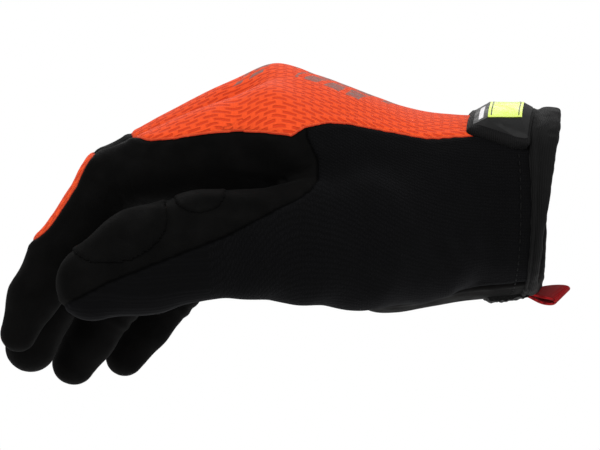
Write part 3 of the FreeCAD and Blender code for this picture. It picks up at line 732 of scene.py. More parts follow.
def cloth_place(points):
    """Run along the glove and arc round it, for the weave, in millimetres."""
    runs, angles, arcs, length = hand_arcs()
    x, y, z = points.T
    middle, tall, half = hand_section(x)
    turn = np.arctan2((np.abs(y) / half) ** (HAND_POWER / 2), np.copysign(
        (np.abs(z - middle) / tall) ** (HAND_POWER / 2), z - middle))
    row = np.clip((-x - runs[0]), 0, len(runs) - 1.001)
    column = np.clip(turn / angles[1], 0, len(angles) - 1.001)
    i, j = row.astype(int), column.astype(int)
    a, b = row - i, column - j
    arc = ((arcs[i, j] * (1 - b) + arcs[i, j + 1] * b) * (1 - a)
           + (arcs[i + 1, j] * (1 - b) + arcs[i + 1, j + 1] * b) * a)
    around = np.copysign(arc, y)
    along = np.interp(-x, runs, length)
    for finger in FINGERS:
        run, height, side = finger_place(points, finger)
        close = (finger_field(points, finger) < 2.5) & (np.abs(side) < FINGER_PITCH / 2)
        root_x, _, radius = FINGER_CHAINS[finger][0]
        root_run = AXES[finger][1][np.argmin(np.abs(AXES[finger][0][:, 0] - root_x))]
        share = smoothstep(root_run + 2.0, root_run + 16.0, run) * close
        finger_arc = np.copysign(np.radians(finger_angle(height, side)) * radius * 0.93, side)
        around += share * (finger_plane(finger) * 1.05 + finger_arc - around)
        along += share * (run - root_run + np.interp(-root_x, runs, length) - along)
    return np.stack([along, around], 1)


# ---- materials --------------------------------------------------------------------

WHITE = (1.0, 1.0, 1.0, 1.0)
PRINT_BARS = ((47.0, 52.0, 15.0), (55.0, 78.0, 23.5), (81.0, 84.0, 14.0), (91.0, 100.0, 18.0),
              (118.0, 123.0, 11.0))                 # run from and to, and reach to each side
CHANNEL_PLACE, CHANNEL_HALF = 15.0, 0.8             # bare line that splits the print lengthwise


def grey(value):
    return (value, value, value)


# painted shade: the near-black colour of the thin line along the seams of the knit and the leather
SEAM_SHADE_COLOUR = grey(0.0002)
MATERIALS = {}                                      # by the name they are asked for


class Shader:
    """A material whose nodes are added and joined by short calls."""

    def __init__(self, name, colour, roughness, sheen=0.0, specular=0.3):
        self.material = bpy.data.materials.new(name)
        MATERIALS[name] = self.material
        self.material.use_nodes = True
        self.tree = self.material.node_tree
        self.principled = self.tree.nodes["Principled BSDF"]
        self.set("Base Color", (*colour, 1.0))
        self.set("Roughness", roughness)
        self.set("Specular IOR Level", specular)
        self.set("Sheen Weight", sheen)

    def set(self, socket, value):
        self.principled.inputs[socket].default_value = value

    def node(self, kind, inputs=None, **settings):
        item = self.tree.nodes.new(kind)
        for key, value in settings.items():
            setattr(item, key, value)
        for socket, value in (inputs or {}).items():
            if isinstance(value, bpy.types.NodeSocket):
                self.tree.links.new(value, item.inputs[socket])
            else:
                item.inputs[socket].default_value = value
        return item

    def math(self, operation, first, second=0.0, third=0.0):
        inputs = {0: first, 1: second, 2: third}
        return self.node("ShaderNodeMath", inputs, operation=operation).outputs[0]

    def times(self, first, second):
        return self.math("MULTIPLY", first, second)

    def scaled(self, value, factor, offset):
        return self.math("MULTIPLY_ADD", value, factor, offset)

    def stretched(self, vector, factors):
        inputs = {0: vector, 1: factors}
        return self.node("ShaderNodeVectorMath", inputs, operation="MULTIPLY").outputs[0]

    def split(self, vector):
        return self.node("ShaderNodeSeparateXYZ", {0: vector}).outputs

    def attribute(self, name, output="Fac"):
        return self.node("ShaderNodeAttribute", attribute_name=name).outputs[output]

    def place(self):
        """Place in the object, in millimetres."""
        return self.stretched(self.node("ShaderNodeTexCoord").outputs["Object"], (1 / MM,) * 3)

    def weave(self):
        """Run along the cloth and arc round it, in millimetres."""
        return self.attribute("weave", "Vector")

    def painted_seam_shade(self):
        """Share of painted seam shade, a thin dark line along the seams; nothing on pieces without
        a seam.
        """
        return self.attribute("painted_seam_shade")

    def noise(self, vector, scale, detail=2.0):
        inputs = {"Vector": vector, "Scale": scale, "Detail": detail}
        return self.node("ShaderNodeTexNoise", inputs).outputs["Fac"]

    def mix(self, share, first, second):
        first, second = ((*value, 1.0) if isinstance(value, tuple) else value
                         for value in (first, second))
        inputs = {0: share, 6: first, 7: second}
        return self.node("ShaderNodeMix", inputs, data_type="RGBA").outputs[2]

    def paint(self, share, first, second):
        self.join(self.mix(share, first, second), "Base Color")

    def ramp(self, value, low, high, from_low=0.0, from_high=1.0):
        inputs = {"Value": value, "From Min": from_low, "From Max": from_high,
                  "To Min": low, "To Max": high}
        return self.node("ShaderNodeMapRange", inputs, interpolation_type="SMOOTHSTEP").outputs[0]

    def join(self, output, socket):
        self.tree.links.new(output, self.principled.inputs[socket])

    def bump(self, height, distance):
        item = self.node("ShaderNodeBump", {"Height": height, "Distance": distance * MM})
        self.join(item.outputs["Normal"], "Normal")


def orange_mesh():
    """Air mesh: rows of short staggered slots, a fine knit ground and a print of grey bars."""
    shader = Shader("orange_mesh", (0.85, 0.08, 0.015), 0.8, sheen=0.03, specular=0.08)
    weave = shader.weave()
    wobble = shader.scaled(shader.noise(weave, 0.11), 2.4, -1.2)
    along, around, _ = shader.split(weave)
    rows = shader.node("ShaderNodeCombineXYZ", {0: shader.math("ADD", along, wobble),
                                                1: shader.math("ADD", around, wobble)}).outputs[0]
    slots = shader.node("ShaderNodeTexBrick", {
        "Vector": shader.stretched(rows, (0.4, 1.0, 1.0)), "Color1": WHITE, "Color2": WHITE,
        "Mortar": (0, 0, 0, 1), "Scale": 1.0, "Mortar Size": 0.5, "Mortar Smooth": 0.5,
        "Brick Width": 2.4, "Row Height": 1.55}, offset=0.5)
    ground = shader.noise(shader.stretched(weave, (0.5, 1.0, 1.0)), 2.6)
    open_cloth = shader.ramp(shader.attribute("seam"), 0.0, 1.0, 0.5, 0.9)
    slot = shader.times(slots.outputs["Color"], open_cloth)
    patchy = shader.mix(ground, (0.65, 0.053, 0.009), (0.76, 0.081, 0.018))
    trimmed = shader.mix(open_cloth, (0.72, 0.094, 0.03), patchy)
    dashed = shader.mix(shader.times(slot, 0.72), trimmed, (0.47, 0.026, 0.006))
    print_share = shader.times(printed_bars(shader, rows), shader.scaled(slot, -0.35, 0.9))
    # painted shade: a dark red line along the seams of the orange mesh
    shader.paint(shader.painted_seam_shade(), shader.mix(print_share, dashed, (0.16, 0.125, 0.115)),
                 (0.3, 0.016, 0.004))
    strands = shader.node("ShaderNodeTexWave", {"Vector": weave, "Scale": 0.8, "Distortion": 0.6},
                          wave_type="BANDS", bands_direction="X").outputs["Fac"]
    height = shader.math("ADD", shader.times(slot, -1.0), shader.times(strands, 0.25))
    shader.bump(shader.math("ADD", height, shader.times(ground, 0.5)), 0.28)


def printed_bars(shader, weave):
    """Share of print: slanted bars along the back of the hand."""
    along, around, _ = shader.split(weave)
    slanted = shader.scaled(around, 0.45, along)
    aside = shader.math("ABSOLUTE", around)
    total = 0.0
    for start, end, reach in PRINT_BARS:
        inside = shader.times(shader.math("GREATER_THAN", slanted, start),
                              shader.math("LESS_THAN", slanted, end))
        bar = shader.times(inside, shader.math("LESS_THAN", aside, reach))
        total = shader.math("MAXIMUM", total, bar)
    gaps = shader.math("LESS_THAN", shader.math("FRACT", shader.times(slanted, 1 / 7.0)), 0.72)
    channel = shader.math("GREATER_THAN", shader.math("ABSOLUTE", shader.math(
        "SUBTRACT", aside, CHANNEL_PLACE)), CHANNEL_HALF)
    worn = shader.ramp(shader.noise(weave, 0.8, 3.0), 0.55, 1.0, 0.3, 0.5)
    return shader.times(shader.times(total, shader.times(gaps, channel)), worn)


def knit():
    """Fine stretch knit: tiny slanted stitches in columns, with a faint cool sheen."""
    shader = Shader("black_knit", (0.002, 0.002, 0.0024), 0.85, sheen=0.014, specular=0.02)
    shader.set("Sheen Tint", (0.86, 0.89, 1.0, 1.0))
    weave = shader.weave()
    along, around, _ = shader.split(weave)
    uneven = shader.scaled(shader.noise(weave, 0.7, 3.0), 1.6, -0.8)
    column = shader.math("PINGPONG", shader.math("ADD", around, uneven), 0.55)
    slanted = shader.scaled(column, 0.9, shader.math("SUBTRACT", along, uneven))
    stitch = shader.math("PINGPONG", slanted, 0.45)
    cell = shader.times(shader.ramp(column, 0.25, 1.0, 0.0, 0.4),
                        shader.ramp(stitch, 0.3, 1.0, 0.0, 0.35))
    cloud = shader.noise(weave, 0.16, 3.0)
    plain = shader.mix(shader.times(cell, shader.scaled(cloud, 0.7, 0.35)),
                       (0.0015, 0.0015, 0.0016), (0.0031, 0.0031, 0.0034))
    # painted shade: a darker line along the seams
    shader.paint(shader.painted_seam_shade(), plain, SEAM_SHADE_COLOUR)
    shader.bump(cell, 0.12)


def leather():
    """Micro-suede: a short nap with soft cloudy patches."""
    shader = Shader("black_leather", (0.002, 0.002, 0.002), 0.75, sheen=0.008, specular=0.02)
    place = shader.place()
    nap = shader.noise(place, 3.2, 3.0)
    cloud = shader.noise(place, 0.12, 3.0)
    plain = shader.mix(cloud, grey(0.001), (0.0024, 0.0023, 0.0022))
    # painted shade: a darker line along the seams
    shader.paint(shader.painted_seam_shade(), plain, SEAM_SHADE_COLOUR)
    shader.join(shader.ramp(cloud, 0.82, 0.6, 0.3, 0.7), "Roughness")
    shader.bump(shader.scaled(cloud, 0.6, nap), 0.07)


def ribbed(name, dark, light, pitch, direction, roughness, depth=0.12):
    """Woven tape or elastic: ribs across it and a fine grain."""
    shader = Shader(name, light, roughness, sheen=0.02, specular=0.05)
    place = shader.place()
    inputs = {"Vector": place, "Scale": 0.314 / pitch, "Distortion": 0.35, "Detail": 1.0}
    ribs = shader.node("ShaderNodeTexWave", inputs, wave_type="BANDS",
                       bands_direction=direction).outputs["Fac"]
    grain = shader.noise(place, 2.4)
    shader.paint(shader.times(ribs, shader.scaled(grain, 0.8, 0.5)), dark, light)
    shader.bump(shader.scaled(grain, 0.5, ribs), depth)


def moulded(name, colour, roughness, grain_depth, specular=0.4):
    """Moulded rubber or plastic with a fine satin grain and slight scuffs."""
    shader = Shader(name, colour, roughness, specular=specular)
    place = shader.place()
    scuff = shader.noise(place, 0.35, 4.0)
    dark, pale = (tuple(share * value for value in colour) for share in (0.8, 1.15))
    shader.paint(scuff, dark, pale)
    shader.join(shader.ramp(scuff, roughness - 0.08, roughness + 0.1, 0.3, 0.7), "Roughness")
    shader.bump(shader.noise(place, 5.0), grain_depth)


def pile(name, colour):
    """Hook and loop tape: a matted pile."""
    shader = Shader(name, colour, 0.9, sheen=0.1, specular=0.05)
    place = shader.place()
    inputs = {"Vector": place, "Scale": 1.4}
    matted = shader.node("ShaderNodeTexVoronoi", inputs).outputs["Distance"]
    shader.paint(matted, tuple(2.2 * value for value in colour), colour)
    shader.bump(shader.scaled(shader.noise(place, 3.0, 3.0), 0.8, matted), 0.4)


orange_mesh()
knit()
leather()
ribbed("elastic_binding", grey(0.0018), (0.0052, 0.0052, 0.0053), 0.55, "X", 0.7)
ribbed("strap_webbing", grey(0.0022), (0.006, 0.006, 0.0062), 0.6, "X", 0.65)
pile("hook_and_loop", grey(0.004))
moulded("tab_rubber", (0.007, 0.0071, 0.0072), 0.5, 0.02, specular=0.12)
moulded("insert_plastic", (0.5, 0.62, 0.06), 0.38, 0.01, specular=0.25)
ribbed("red_webbing", (0.1, 0.002, 0.003), (0.3, 0.006, 0.008), 0.6, "Y", 0.6, 0.15)
ribbed("label_cloth", (0.2, 0.01, 0.012), (0.36, 0.03, 0.03), 0.4, "X", 0.7)
ribbed("thread", grey(0.0015), grey(0.0045), 0.3, "X", 0.6)
moulded("grey_mark", (0.5, 0.5, 0.52), 0.5, 0.01)
moulded("frame_line", grey(0.004), 0.4, 0.01, specular=0.1)


# ---- pieces -------------------------------------------------------------------------

def add_piece(name, vertices, faces, material, body=None, detail_of=None, normals=None,
              sharp_angle=None):
    """A mesh piece in metres from millimetre vertices.

    It replaces the node of its name.  A detail replaces none.
    """
    data = bpy.data.meshes.new(name)
    faces = [list(map(int, face)) for face in faces]
    data.from_pydata((np.asarray(vertices) * MM).tolist(), [], faces)
    data.materials.append(MATERIALS[material])
    data.shade_smooth()
    piece = bpy.data.objects.new(f"{name}_dressed", data)
    bpy.context.scene.collection.objects.link(piece)
    if sharp_angle:
        data.set_sharp_from_angle(angle=math.radians(sharp_angle))
    if normals is not None:
        data.normals_split_custom_set_from_vertices(normals.tolist())
    if body:
        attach(piece, body)
    if not detail_of:
        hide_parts(name)
    return piece


def grid_faces(rows, columns, closed=False):
    """Quads of a grid of points, numbered row by row; a closed grid is joined up both ways."""
    last = 0 if closed else 1
    return [(i * columns + j, i * columns + (j + 1) % columns,
             (i + 1) % rows * columns + (j + 1) % columns, (i + 1) % rows * columns + j)
            for i in range(rows - last) for j in range(columns - last)]


def joint_place(name):
    joint = next(joint for joint in frame["joints"] if joint["name"] == name)
    return np.array(joint["pos_m"]) / MM


def blend_digit(piece, digit):
    """Bake a piece's transform into its mesh; the joint's place and the finger's chain points are
    looked up but not used.
    """
    origin = joint_place(f"{digit}_bend")
    if digit == "thumb":
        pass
    else:
        root, joint, end = (np.array([x, 0.0, z]) for x, z, _ in FINGER_CHAINS[digit][:3])
    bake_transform(piece)


def set_attribute(data, name, kind, values):
    attribute = data.attributes.new(name, kind, "POINT")
    attribute.data.foreach_set("vector" if kind == "FLOAT_VECTOR" else "value",
                               np.ascontiguousarray(values, np.float32).ravel())


def place_on_body(piece, name):
    digit = name.split("_")[0]
    moving = name.split("_")[-1] in ("knuckle", "back", "front", "cap", "patch")
    if moving and digit in FINGERS + ("thumb",):
        blend_digit(piece, digit)
    else:
        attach(piece, "hand")


def shell_pieces(vertices, quads, pieces, distance):
    normals = vertex_normals(vertices, quads)
    along = cloth_place(vertices)
    weave = np.column_stack([along, np.zeros(len(along))])
    for number, name in enumerate(PIECES):
        used, faces = np.unique(quads[pieces == number], return_inverse=True)
        piece = add_piece(name, vertices[used], faces.reshape(-1, 4), material_of(name),
                          normals=normals[used])
        set_attribute(piece.data, "weave", "FLOAT_VECTOR", weave[used])
        set_attribute(piece.data, "seam", "FLOAT", distance[used])
        # painted seam shade: its share, full up to 0.15 mm from a seam and gone at 0.75 mm
        set_attribute(piece.data, "painted_seam_shade", "FLOAT", smoothstep(0.75, 0.15, distance[used]))
        place_on_body(piece, name)


def raised_patch(name, vertices, quads, chosen, height, detail_of=None):
    """A second layer of cloth on the shell, with a rolled edge."""
    normals = vertex_normals(vertices, quads)
    used, faces = np.unique(quads[chosen], return_inverse=True)
    faces = faces.reshape(-1, 4)
    edges = {}
    for face in faces.tolist():
        for pair in zip(face, face[1:] + face[:1]):
            if edges.pop(pair[::-1], None) is None:
                edges[pair] = True
    rim = sorted({number for pair in edges for number in pair})
    lift = np.full(len(used), height)
    lift[rim] = height * PATCH_EDGE
    top = vertices[used] + normals[used] * lift[:, None]
    skirt = {number: len(top) + place for place, number in enumerate(rim)}
    below = vertices[used][rim] - normals[used][rim] * PATCH_SUNK
    walls = [(second, first, skirt[first], skirt[second]) for first, second in edges]
    piece = add_piece(name, np.vstack([top, below]), list(faces) + walls, "black_leather",
                      detail_of=detail_of)
    place_on_body(piece, name)


def patches(vertices, quads):
    centres = vertices[quads].mean(1)
    x, y, z = centres.T
    pad = (thumb_field(centres) < 2.0) & (line_side(centres, THUMB_PATCH) > 0)
    pad &= (x > -157.0) & (x < THUMB_PATCH[-1][0] + 3) & (y < -46.0) & (z > -20.0)
    raised_patch("thumb_patch", vertices, quads, pad, 0.8)
    middle_x, middle_z, half_length, half_height = CROTCH_PATCH
    crotch = ((x - middle_x) / half_length) ** 2 + ((z - middle_z) / half_height) ** 2 < 1
    raised_patch("thumb_crotch_patch", vertices, quads, crotch & (y < -44.0), 0.6, "black_leather")


# ---- cuff -----------------------------------------------------------------------------

def wrist_point(x, turn, height):
    """Point over the wrist; the turn runs in degrees from the thumb side over the back."""
    x, turn, height = np.broadcast_arrays(*(np.asarray(row, float) for row in (x, turn, height)))
    middle, tall, half = hand_section(x)
    cosine, sine = np.cos(np.radians(turn)), np.sin(np.radians(turn))
    power = (np.abs(cosine) / half) ** HAND_POWER + (np.abs(sine) / tall) ** HAND_POWER
    radius = power ** (-1 / HAND_POWER)
    y, z = -cosine * radius, sine * radius
    out_y = np.copysign(np.abs(y) ** (HAND_POWER - 1) / half ** HAND_POWER, y)
    out_z = np.copysign(np.abs(z) ** (HAND_POWER - 1) / tall ** HAND_POWER, z)
    length = np.hypot(out_y, out_z)
    return np.stack([x, y + height * out_y / length, middle + z + height * out_z / length], -1)


def edge_at(turn):
    angle = np.radians(turn)
    return cuff_edge(np.stack([0 * angle, -np.cos(angle), np.sin(angle)], -1))


def binding_start(turn):
    """Where the binding begins along X: nearly straight on the thumb side."""
    edge = edge_at(turn)
    return np.clip(BINDING_START, edge - 11.0, edge - 3.8)


def wrist_sweep(name, material, profile, places, swell):
    """A closed band round the wrist, from one place along X to another at each turn."""
    turns = np.linspace(0, 360, SWEEP_COUNT, endpoint=False)
    run, height = np.array(profile).T
    start, end = (place[:, None] for place in places(turns))
    x = start + (end - start) * (run - run.min()) / (run.max() - run.min())
    grid = wrist_point(x, turns[:, None], height[None, :] + swell(turns)[:, None] + 0 * x)
    faces = grid_faces(SWEEP_COUNT, len(profile), closed=True)
    return add_piece(name, grid.reshape(-1, 3), faces, material, "hand")


# cross sections as run along X and height over the wrist
BINDING_ROLL = ((-4.1, -0.6), (-3.8, 0.6), (-2.9, 1.15), (-1.8, 0.62), (-0.6, 1.15), (0.9, 1.3),
                (2.8, 0.75), (3.3, -0.7), (2.8, -2.2), (0.8, -2.75), (-1.8, -2.7), (-3.6, -1.9))
HEM_ROLL = ((-5, -1.15), (0, -1.1), (5, -1.15), (5.1, -1.6), (5, -2.0), (0, -2.05), (-5, -2.0),
            (-5.1, -1.6))
STITCH_STEP = 4.6               # degrees
STITCH_TURNS = (30, 173)        # none between these, where the strap lies


def cuff():

    def bulk(turns):
        """The binding is thicker over the back and uneven all round."""
        wave = np.sin(np.radians(turns * 23)) * 0.06 + np.sin(np.radians(turns * 9 + 40)) * 0.1
        return 1.7 * bump(turns - 96.0, 38.0) + wave

    binding = wrist_sweep("cuff_binding", "elastic_binding", closed_curve(BINDING_ROLL, 4),
                          lambda turns: (binding_start(turns), edge_at(turns)), bulk)
    places, normals = (np.array([getattr(vert, kind) for vert in binding.data.vertices])
                       for kind in ("co", "normal"))
    crumple = cloth_noise(places / MM, 2.6, 5.0) * 0.22 + cloth_noise(places / MM, 6.0, 1.0) * 0.3
    binding.data.vertices.foreach_set("co", (places + normals * crumple[:, None] * MM).ravel())
    wrist_sweep("cuff_hem", "black_knit", closed_curve(HEM_ROLL, 2),
                lambda turns: (edge_at(turns) - 16.6, edge_at(turns) - 6.4), np.zeros_like)
    stitch_row("hem_stitches", [(binding_start(turn) - 3.4, turn)
                                for turn in np.arange(0.0, 360.0, STITCH_STEP)
                                if not STITCH_TURNS[0] < turn < STITCH_TURNS[1]],
               0.12, "thread", "black_knit")


def stitch_row(name, places, height, material, detail_of):
    """Short raised stitches that run round the wrist, at (x, turn) places."""
    vertices, faces = [], []
    ring = ((-1.0, 0.0), (-0.55, 1.0), (0.55, 1.0), (1.0, 0.0), (0.55, -1.0), (-0.55, -1.0))
    for x, turn in places:
        start = len(vertices)
        for along, across in ring:
            vertices.append(wrist_point(x + 0.24 * across, turn + 1.45 * along, height))
        for along, across in ring[1:3] + ring[4:]:
            vertices.append(wrist_point(x + 0.1 * across, turn + 1.2 * along, height + 0.28))
        faces += [[start + n for n in quad] for quad in
                  ((6, 7, 8, 9), (1, 2, 7, 6), (4, 5, 9, 8), (2, 3, 7), (3, 4, 8), (3, 8, 7),
                   (5, 0, 9), (0, 1, 6), (0, 6, 9))]
    add_piece(name, vertices, faces, material, "hand", detail_of)


def wrap(name, material, turns, columns, rise, drop, body, detail_of=None, sharp_angle=40):
    """A closed slab on the wrist: a row of x places for each turn, between two heights."""
    x = np.array([columns(turn) for turn in turns])
    turn = np.array(turns)[:, None] + 0 * x
    top, low = (wrist_point(x, turn, np.vectorize(height)(x, turn) if callable(height) else height)
                for height in (rise, drop))
    numbers = np.arange(x.size).reshape(x.shape)
    under = x.size
    faces = grid_faces(*x.shape)
    faces += [(under + a, under + d, under + c, under + b) for a, b, c, d in faces]
    rim = np.concatenate([numbers[0], numbers[1:, -1], numbers[-1, -2::-1], numbers[-2:0:-1, 0]])
    faces += [(second, first, under + first, under + second)
              for first, second in zip(rim, np.roll(rim, -1))]
    vertices = np.concatenate([top.reshape(-1, 3), low.reshape(-1, 3)])
    return add_piece(name, vertices, faces, material, body, detail_of, sharp_angle=sharp_angle)


# ---- strap ------------------------------------------------------------------------------

STRAP_LEFT, STRAP_RIGHT = -30.2, -10.0
STRAP_START = 32.0
STRAP_CORNER = ((32.0, -12.0), (32.8, -15.6), (35.4, -18.8), (40.6, -24.8), (44.4, -29.2),
                (45.4, -30.0), (46.4, -30.2))       # turn, and x of the strap's left edge there
STRAP_SKEW = 3.4                                    # drift to the cuff's edge as the strap climbs
STRAP_END = 152.0
WEBBING_LOW, WEBBING_TOP = 1.3, 2.6
TAB_INSET = 2.1                                     # on the left
TAB_RIGHT_INSET = 0.8
TAB_FIRST, TAB_LAST = 35.0, 119.0
TAB_TOP = 4.8
TAB_RIM = 3.1
TAB_LEFT_BEVEL, TAB_BEVEL = 4.6, 3.0
TAB_END_BEVEL, TAB_FAR_BEVEL = 15.0, 4.0            # degrees at the thumb end and at the far end
INSERT = (-23.4, -12.2, 49.5, 106.0)                # x and turn, from and to


def skew(turn):
    return STRAP_SKEW * smoothstep(40.0, 85.0, turn)


def strap_right(turn):
    return STRAP_RIGHT + 5.0 * smoothstep(28.0, 85.0, turn)


def strap_left(turn):
    return np.interp(turn, *np.array(STRAP_CORNER).T) + skew(turn)


def strap_columns(turn):
    left = strap_left(turn)
    corner = 1 - math.sqrt(max(0.0, 1 - max(0.0, (STRAP_START + 2.5 - turn) / 2.6) ** 2))
    right = strap_right(turn) - 1.6 * corner
    share = np.array([0, 0.015, 0.05, 0.1, 0.2, 0.32, 0.44, 0.56, 0.68, 0.8, 0.9, 0.95, 0.985, 1])
    return left + (right - left) * share


def webbing_rise(x, turn):
    left, right = strap_columns(turn)[[0, -1]]
    edge = min(x - left, right - x, (turn - STRAP_START) * 0.55 + 0.02)
    rolled = 0.5 * (1 - min(max(edge, 0.0) / 0.9, 1.0)) ** 2
    thinned = 1.5 * max(0.0, 1 - (x - left) / 3.4)
    return WEBBING_TOP - rolled - thinned + 0.3 * math.exp(-((edge - 1.2) / 0.45) ** 2)


def webbing_drop(x, turn):
    return min(WEBBING_LOW, webbing_rise(x, turn) - 0.7)


def tab_columns(turn):
    corner = strap_left(turn - 3.2) + TAB_INSET
    left = max(corner, STRAP_LEFT + skew(turn) + TAB_INSET)
    right = strap_right(turn) - TAB_RIGHT_INSET
    run = max(min((turn - TAB_FIRST) / TAB_END_BEVEL, (TAB_LAST - turn) / TAB_FAR_BEVEL, 1.0), 0.02)
    low, high = left + run * TAB_LEFT_BEVEL, right - run * TAB_BEVEL
    return np.array([left, left + 0.02, (left + low) / 2, low]
                    + [low + (high - low) * share for share in (0.2, 0.4, 0.6, 0.8)]
                    + [high, (high + right) / 2, right - 0.02, right])


def tab_rise(x, turn):
    left, right = tab_columns(turn)[[0, -1]]
    share = min((x - left) / TAB_LEFT_BEVEL, (right - x) / TAB_BEVEL,
                (turn - TAB_FIRST) / TAB_END_BEVEL, (TAB_LAST - turn) / TAB_FAR_BEVEL, 1.0)
    sunk = max(0.0, 1 - (x - left) / TAB_LEFT_BEVEL)
    return TAB_RIM + (TAB_TOP - TAB_RIM) * max(share, 0.0) - sunk


def level_columns(low, high, count, drift=1.0):
    return lambda turn: np.linspace(low, high, count) + drift * skew(turn)


def strap():
    webbing_turns = np.concatenate([np.linspace(STRAP_START, 35.0, 9), np.linspace(36.0, 50.0, 15),
                                    np.linspace(52.0, STRAP_END, 58)])
    webbing = wrap("strap_webbing", "strap_webbing", webbing_turns, strap_columns, webbing_rise,
                   webbing_drop, None)
    hinge = joint_place("strap_peel")
    before, after = (wrist_point(hinge[0], turn, WEBBING_TOP) for turn in (151.5, 140.0))
    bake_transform(webbing)
    tab_turns = np.concatenate([[TAB_FIRST, TAB_FIRST + 0.1],
                                np.linspace(36.0, TAB_FIRST + TAB_END_BEVEL, 16),
                                np.linspace(52.0, 115.0, 44), [117.0, 118.9, TAB_LAST]])
    wrap("tab_rubber", "tab_rubber", tab_turns, tab_columns, tab_rise,
         lambda x, turn: min(WEBBING_TOP - 0.25, tab_rise(x, turn) - 0.5), "strap", sharp_angle=12)
    left, right, first, last = INSERT
    wrap("tab_insert", "insert_plastic", np.linspace(first, last, 36),
         level_columns(left, right, 8), TAB_TOP + 0.12, TAB_TOP - 0.4, "strap", sharp_angle=30)
    for name, low, high in (("insert_frame_left", left + 0.9, left + 1.25),
                            ("insert_frame_right", right - 1.25, right - 0.9)):
        wrap(name, "frame_line", np.linspace(first + 1.5, last - 1.5, 30),
             level_columns(low, high, 2), TAB_TOP + 0.16, TAB_TOP, "strap", "tab_rubber")
    wrap("tab_mark", "grey_mark", np.linspace(51.0, 70.0, 12), level_columns(-26.4, -24.9, 4),
         lambda x, turn: tab_rise(x, turn) + 0.08, lambda x, turn: tab_rise(x, turn) - 0.1, "strap",
         "label_cloth")
    patch = level_columns(STRAP_LEFT + 4, STRAP_RIGHT - 2, 10)
    wrap("loop_patch", "hook_and_loop", np.linspace(50, 74, 16), patch, 0.5, -0.3, "hand")
    wrap("hook_patch", "hook_and_loop", np.linspace(52, 74, 16), patch, 1.35, 0.75, "strap")
    wrap("strap_sewn_end", "strap_webbing", np.linspace(STRAP_END - 1.5, 171.0, 14),
         lambda turn: np.linspace(strap_left(turn), strap_right(turn), 14),
         lambda x, turn: WEBBING_TOP - 0.9 * smoothstep(166.0, 171.0, turn), -0.3, "hand")
    wrap("care_label", "label_cloth", np.linspace(81, 99, 12), level_columns(-15.5, -6.5, 8, 0.0),
         -2.15, -2.6, "hand")


# ---- pull loop ----------------------------------------------------------------------------

LOOP_START = (-11.6, 0.0, -30.3)
LOOP_LENGTH = 16.4
LOOP_HEIGHT = 2.3
LOOP_ROOT_HALF = 0.25                               # half height at the sewn end
LOOP_WIDTH = 10.5
LOOP_THICKNESS = 0.95
LOOP_ROOT_ACROSS = (0.0, 1.0, 0.0)                  # along the webbing's width, near to far
LOOP_END_ACROSS = (0.56, 0.7, 0.42)                 # the loop is twisted


def pull_loop():
    along = np.array([1.0, 0.0, -0.07])
    half = LOOP_HEIGHT / 2
    upper = [(0.0, LOOP_ROOT_HALF)] + [(share * LOOP_LENGTH, rise * half)
                                       for share, rise in ((0.3, 0.35), (0.7, 0.95), (0.93, 0.85))]
    lower = [(run, -rise) for run, rise in upper[::-1]]
    centre_line = closed_curve(upper + [(LOOP_LENGTH, 0.0)] + lower, 6)
    tangent = np.roll(centre_line, -1, axis=0) - np.roll(centre_line, 1, axis=0)
    tangent /= np.linalg.norm(tangent, axis=1)[:, None]
    outward = np.stack([-tangent[:, 1], tangent[:, 0]], 1)
    profile = [(side * (LOOP_WIDTH / 2 - inset), lift * LOOP_THICKNESS / 2)
               for side, inset, lift in ((-1, 0.25, 1), (-1, 0, 0.4), (-1, 0, -0.4), (-1, 0.25, -1),
                                         (1, 0.25, -1), (1, 0, -0.4), (1, 0, 0.4), (1, 0.25, 1))]
    vertices = []
    for (run, height), (out_run, out_height) in zip(centre_line, outward):
        twist = smoothstep(0.0, 1.0, run / LOOP_LENGTH)
        across = np.array(LOOP_ROOT_ACROSS) * (1 - twist) + np.array(LOOP_END_ACROSS) * twist
        across /= np.linalg.norm(across)
        up = np.cross(along, across)
        up /= np.linalg.norm(up)
        for side, lift in profile:
            vertices.append(np.array(LOOP_START) + along * (run + out_run * lift)
                            + up * (height + out_height * lift) + across * side)
    faces = [(a, d, c, b) for a, b, c, d in grid_faces(len(centre_line), len(profile), closed=True)]
    add_piece("pull_loop", vertices, faces, "red_webbing", "loop", sharp_angle=45)

    def crumpled(x, turn):
        rounded = 1.2 * (max(0.0, abs(x + 14.0) - 5.3) / 2.3) ** 2
        return 1.5 + 0.9 * noise.noise(Vector((x, turn * 0.5, 0.0)) / 1.4) - rounded

    wrap("loop_anchor", "hook_and_loop", np.linspace(256.0, 284.0, 26),
         level_columns(-21.5, -6.5, 26, 0.0), crumpled, -0.4, "hand")


# ---- stage -----------------------------------------------------------------------------------

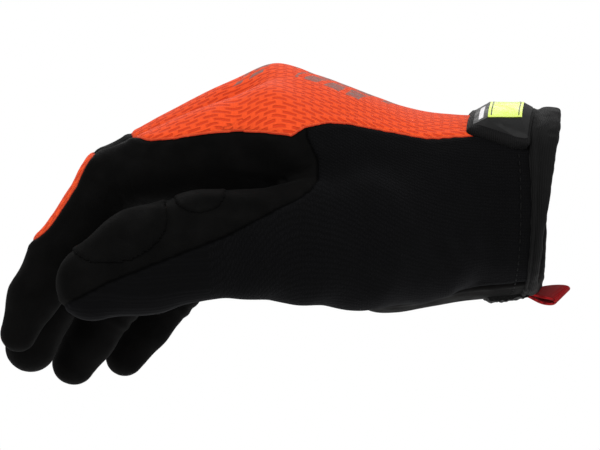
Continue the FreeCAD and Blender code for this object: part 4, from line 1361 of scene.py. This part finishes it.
CAMERA_PLACE = (-0.0843, -0.6, -0.0075)             # metres, as all of the stage
CAMERA_LENS = 105.9
LIGHTS = (("key", (-0.5, -0.9, 0.9), 0.9, 13.0), ("side", (0.9, -0.7, 0.3), 0.8, 6.0),
          ("back", (-0.2, 0.8, 0.9), 0.9, 9.0))     # name, place, size and power
LIGHT_AIM = (-0.08, 0.0, 0.0)
WORLD_LIGHT = 0.55                                  # the camera itself sees plain white
FLOOR_HEIGHT = -0.25
FLOOR_CORNERS = ((-1.28, -1.2), (1.12, -1.2), (1.12, 1.2), (-1.28, 1.2))


def stage():
    scene = bpy.context.scene
    scene.view_settings.view_transform = "Standard"
    camera = bpy.data.objects.new("camera", bpy.data.cameras.new("camera"))
    camera.location = CAMERA_PLACE
    camera.rotation_euler = (math.pi / 2, 0.0, 0.0)
    camera.data.sensor_width = 36.0
    camera.data.lens = CAMERA_LENS
    camera.data.clip_start = 0.01
    scene.collection.objects.link(camera)
    scene.camera = camera
    for name, place, size, power in LIGHTS:
        light = bpy.data.objects.new(name, bpy.data.lights.new(name, "AREA"))
        light.data.size, light.data.energy = size, power
        light.location = place
        aim = Vector(LIGHT_AIM) - Vector(place)
        light.rotation_euler = aim.to_track_quat("-Z", "Y").to_euler()
        scene.collection.objects.link(light)
    world = bpy.data.worlds.new("studio")
    world.use_nodes = True
    scene.world = world
    tree = world.node_tree
    choose = tree.nodes.new("ShaderNodeMixShader")
    path = tree.nodes.new("ShaderNodeLightPath")
    tree.links.new(path.outputs["Is Camera Ray"], choose.inputs[0])
    backgrounds = tree.nodes["Background"], tree.nodes.new("ShaderNodeBackground")
    for place, (background, strength) in enumerate(zip(backgrounds, (WORLD_LIGHT, 1.0))):
        background.inputs["Color"].default_value = WHITE
        background.inputs["Strength"].default_value = strength
        tree.links.new(background.outputs[0], choose.inputs[1 + place])
    tree.links.new(choose.outputs[0], tree.nodes["World Output"].inputs[0])
    floor_data = bpy.data.meshes.new("floor")
    floor_data.from_pydata([(x, y, FLOOR_HEIGHT) for x, y in FLOOR_CORNERS], [], [(0, 1, 2, 3)])
    floor_data.materials.append(Shader("floor", grey(0.93), 0.8).material)
    floor = bpy.data.objects.new("floor", floor_data)
    scene.collection.objects.link(floor)


shell, shell_quads, shell_numbers = build_shell()
shell, to_seam = dress_shell(shell, shell_quads, shell_numbers)
shell_pieces(shell, shell_quads, shell_numbers, to_seam)
patches(shell, shell_quads)
cuff()
strap()
pull_loop()
stage()
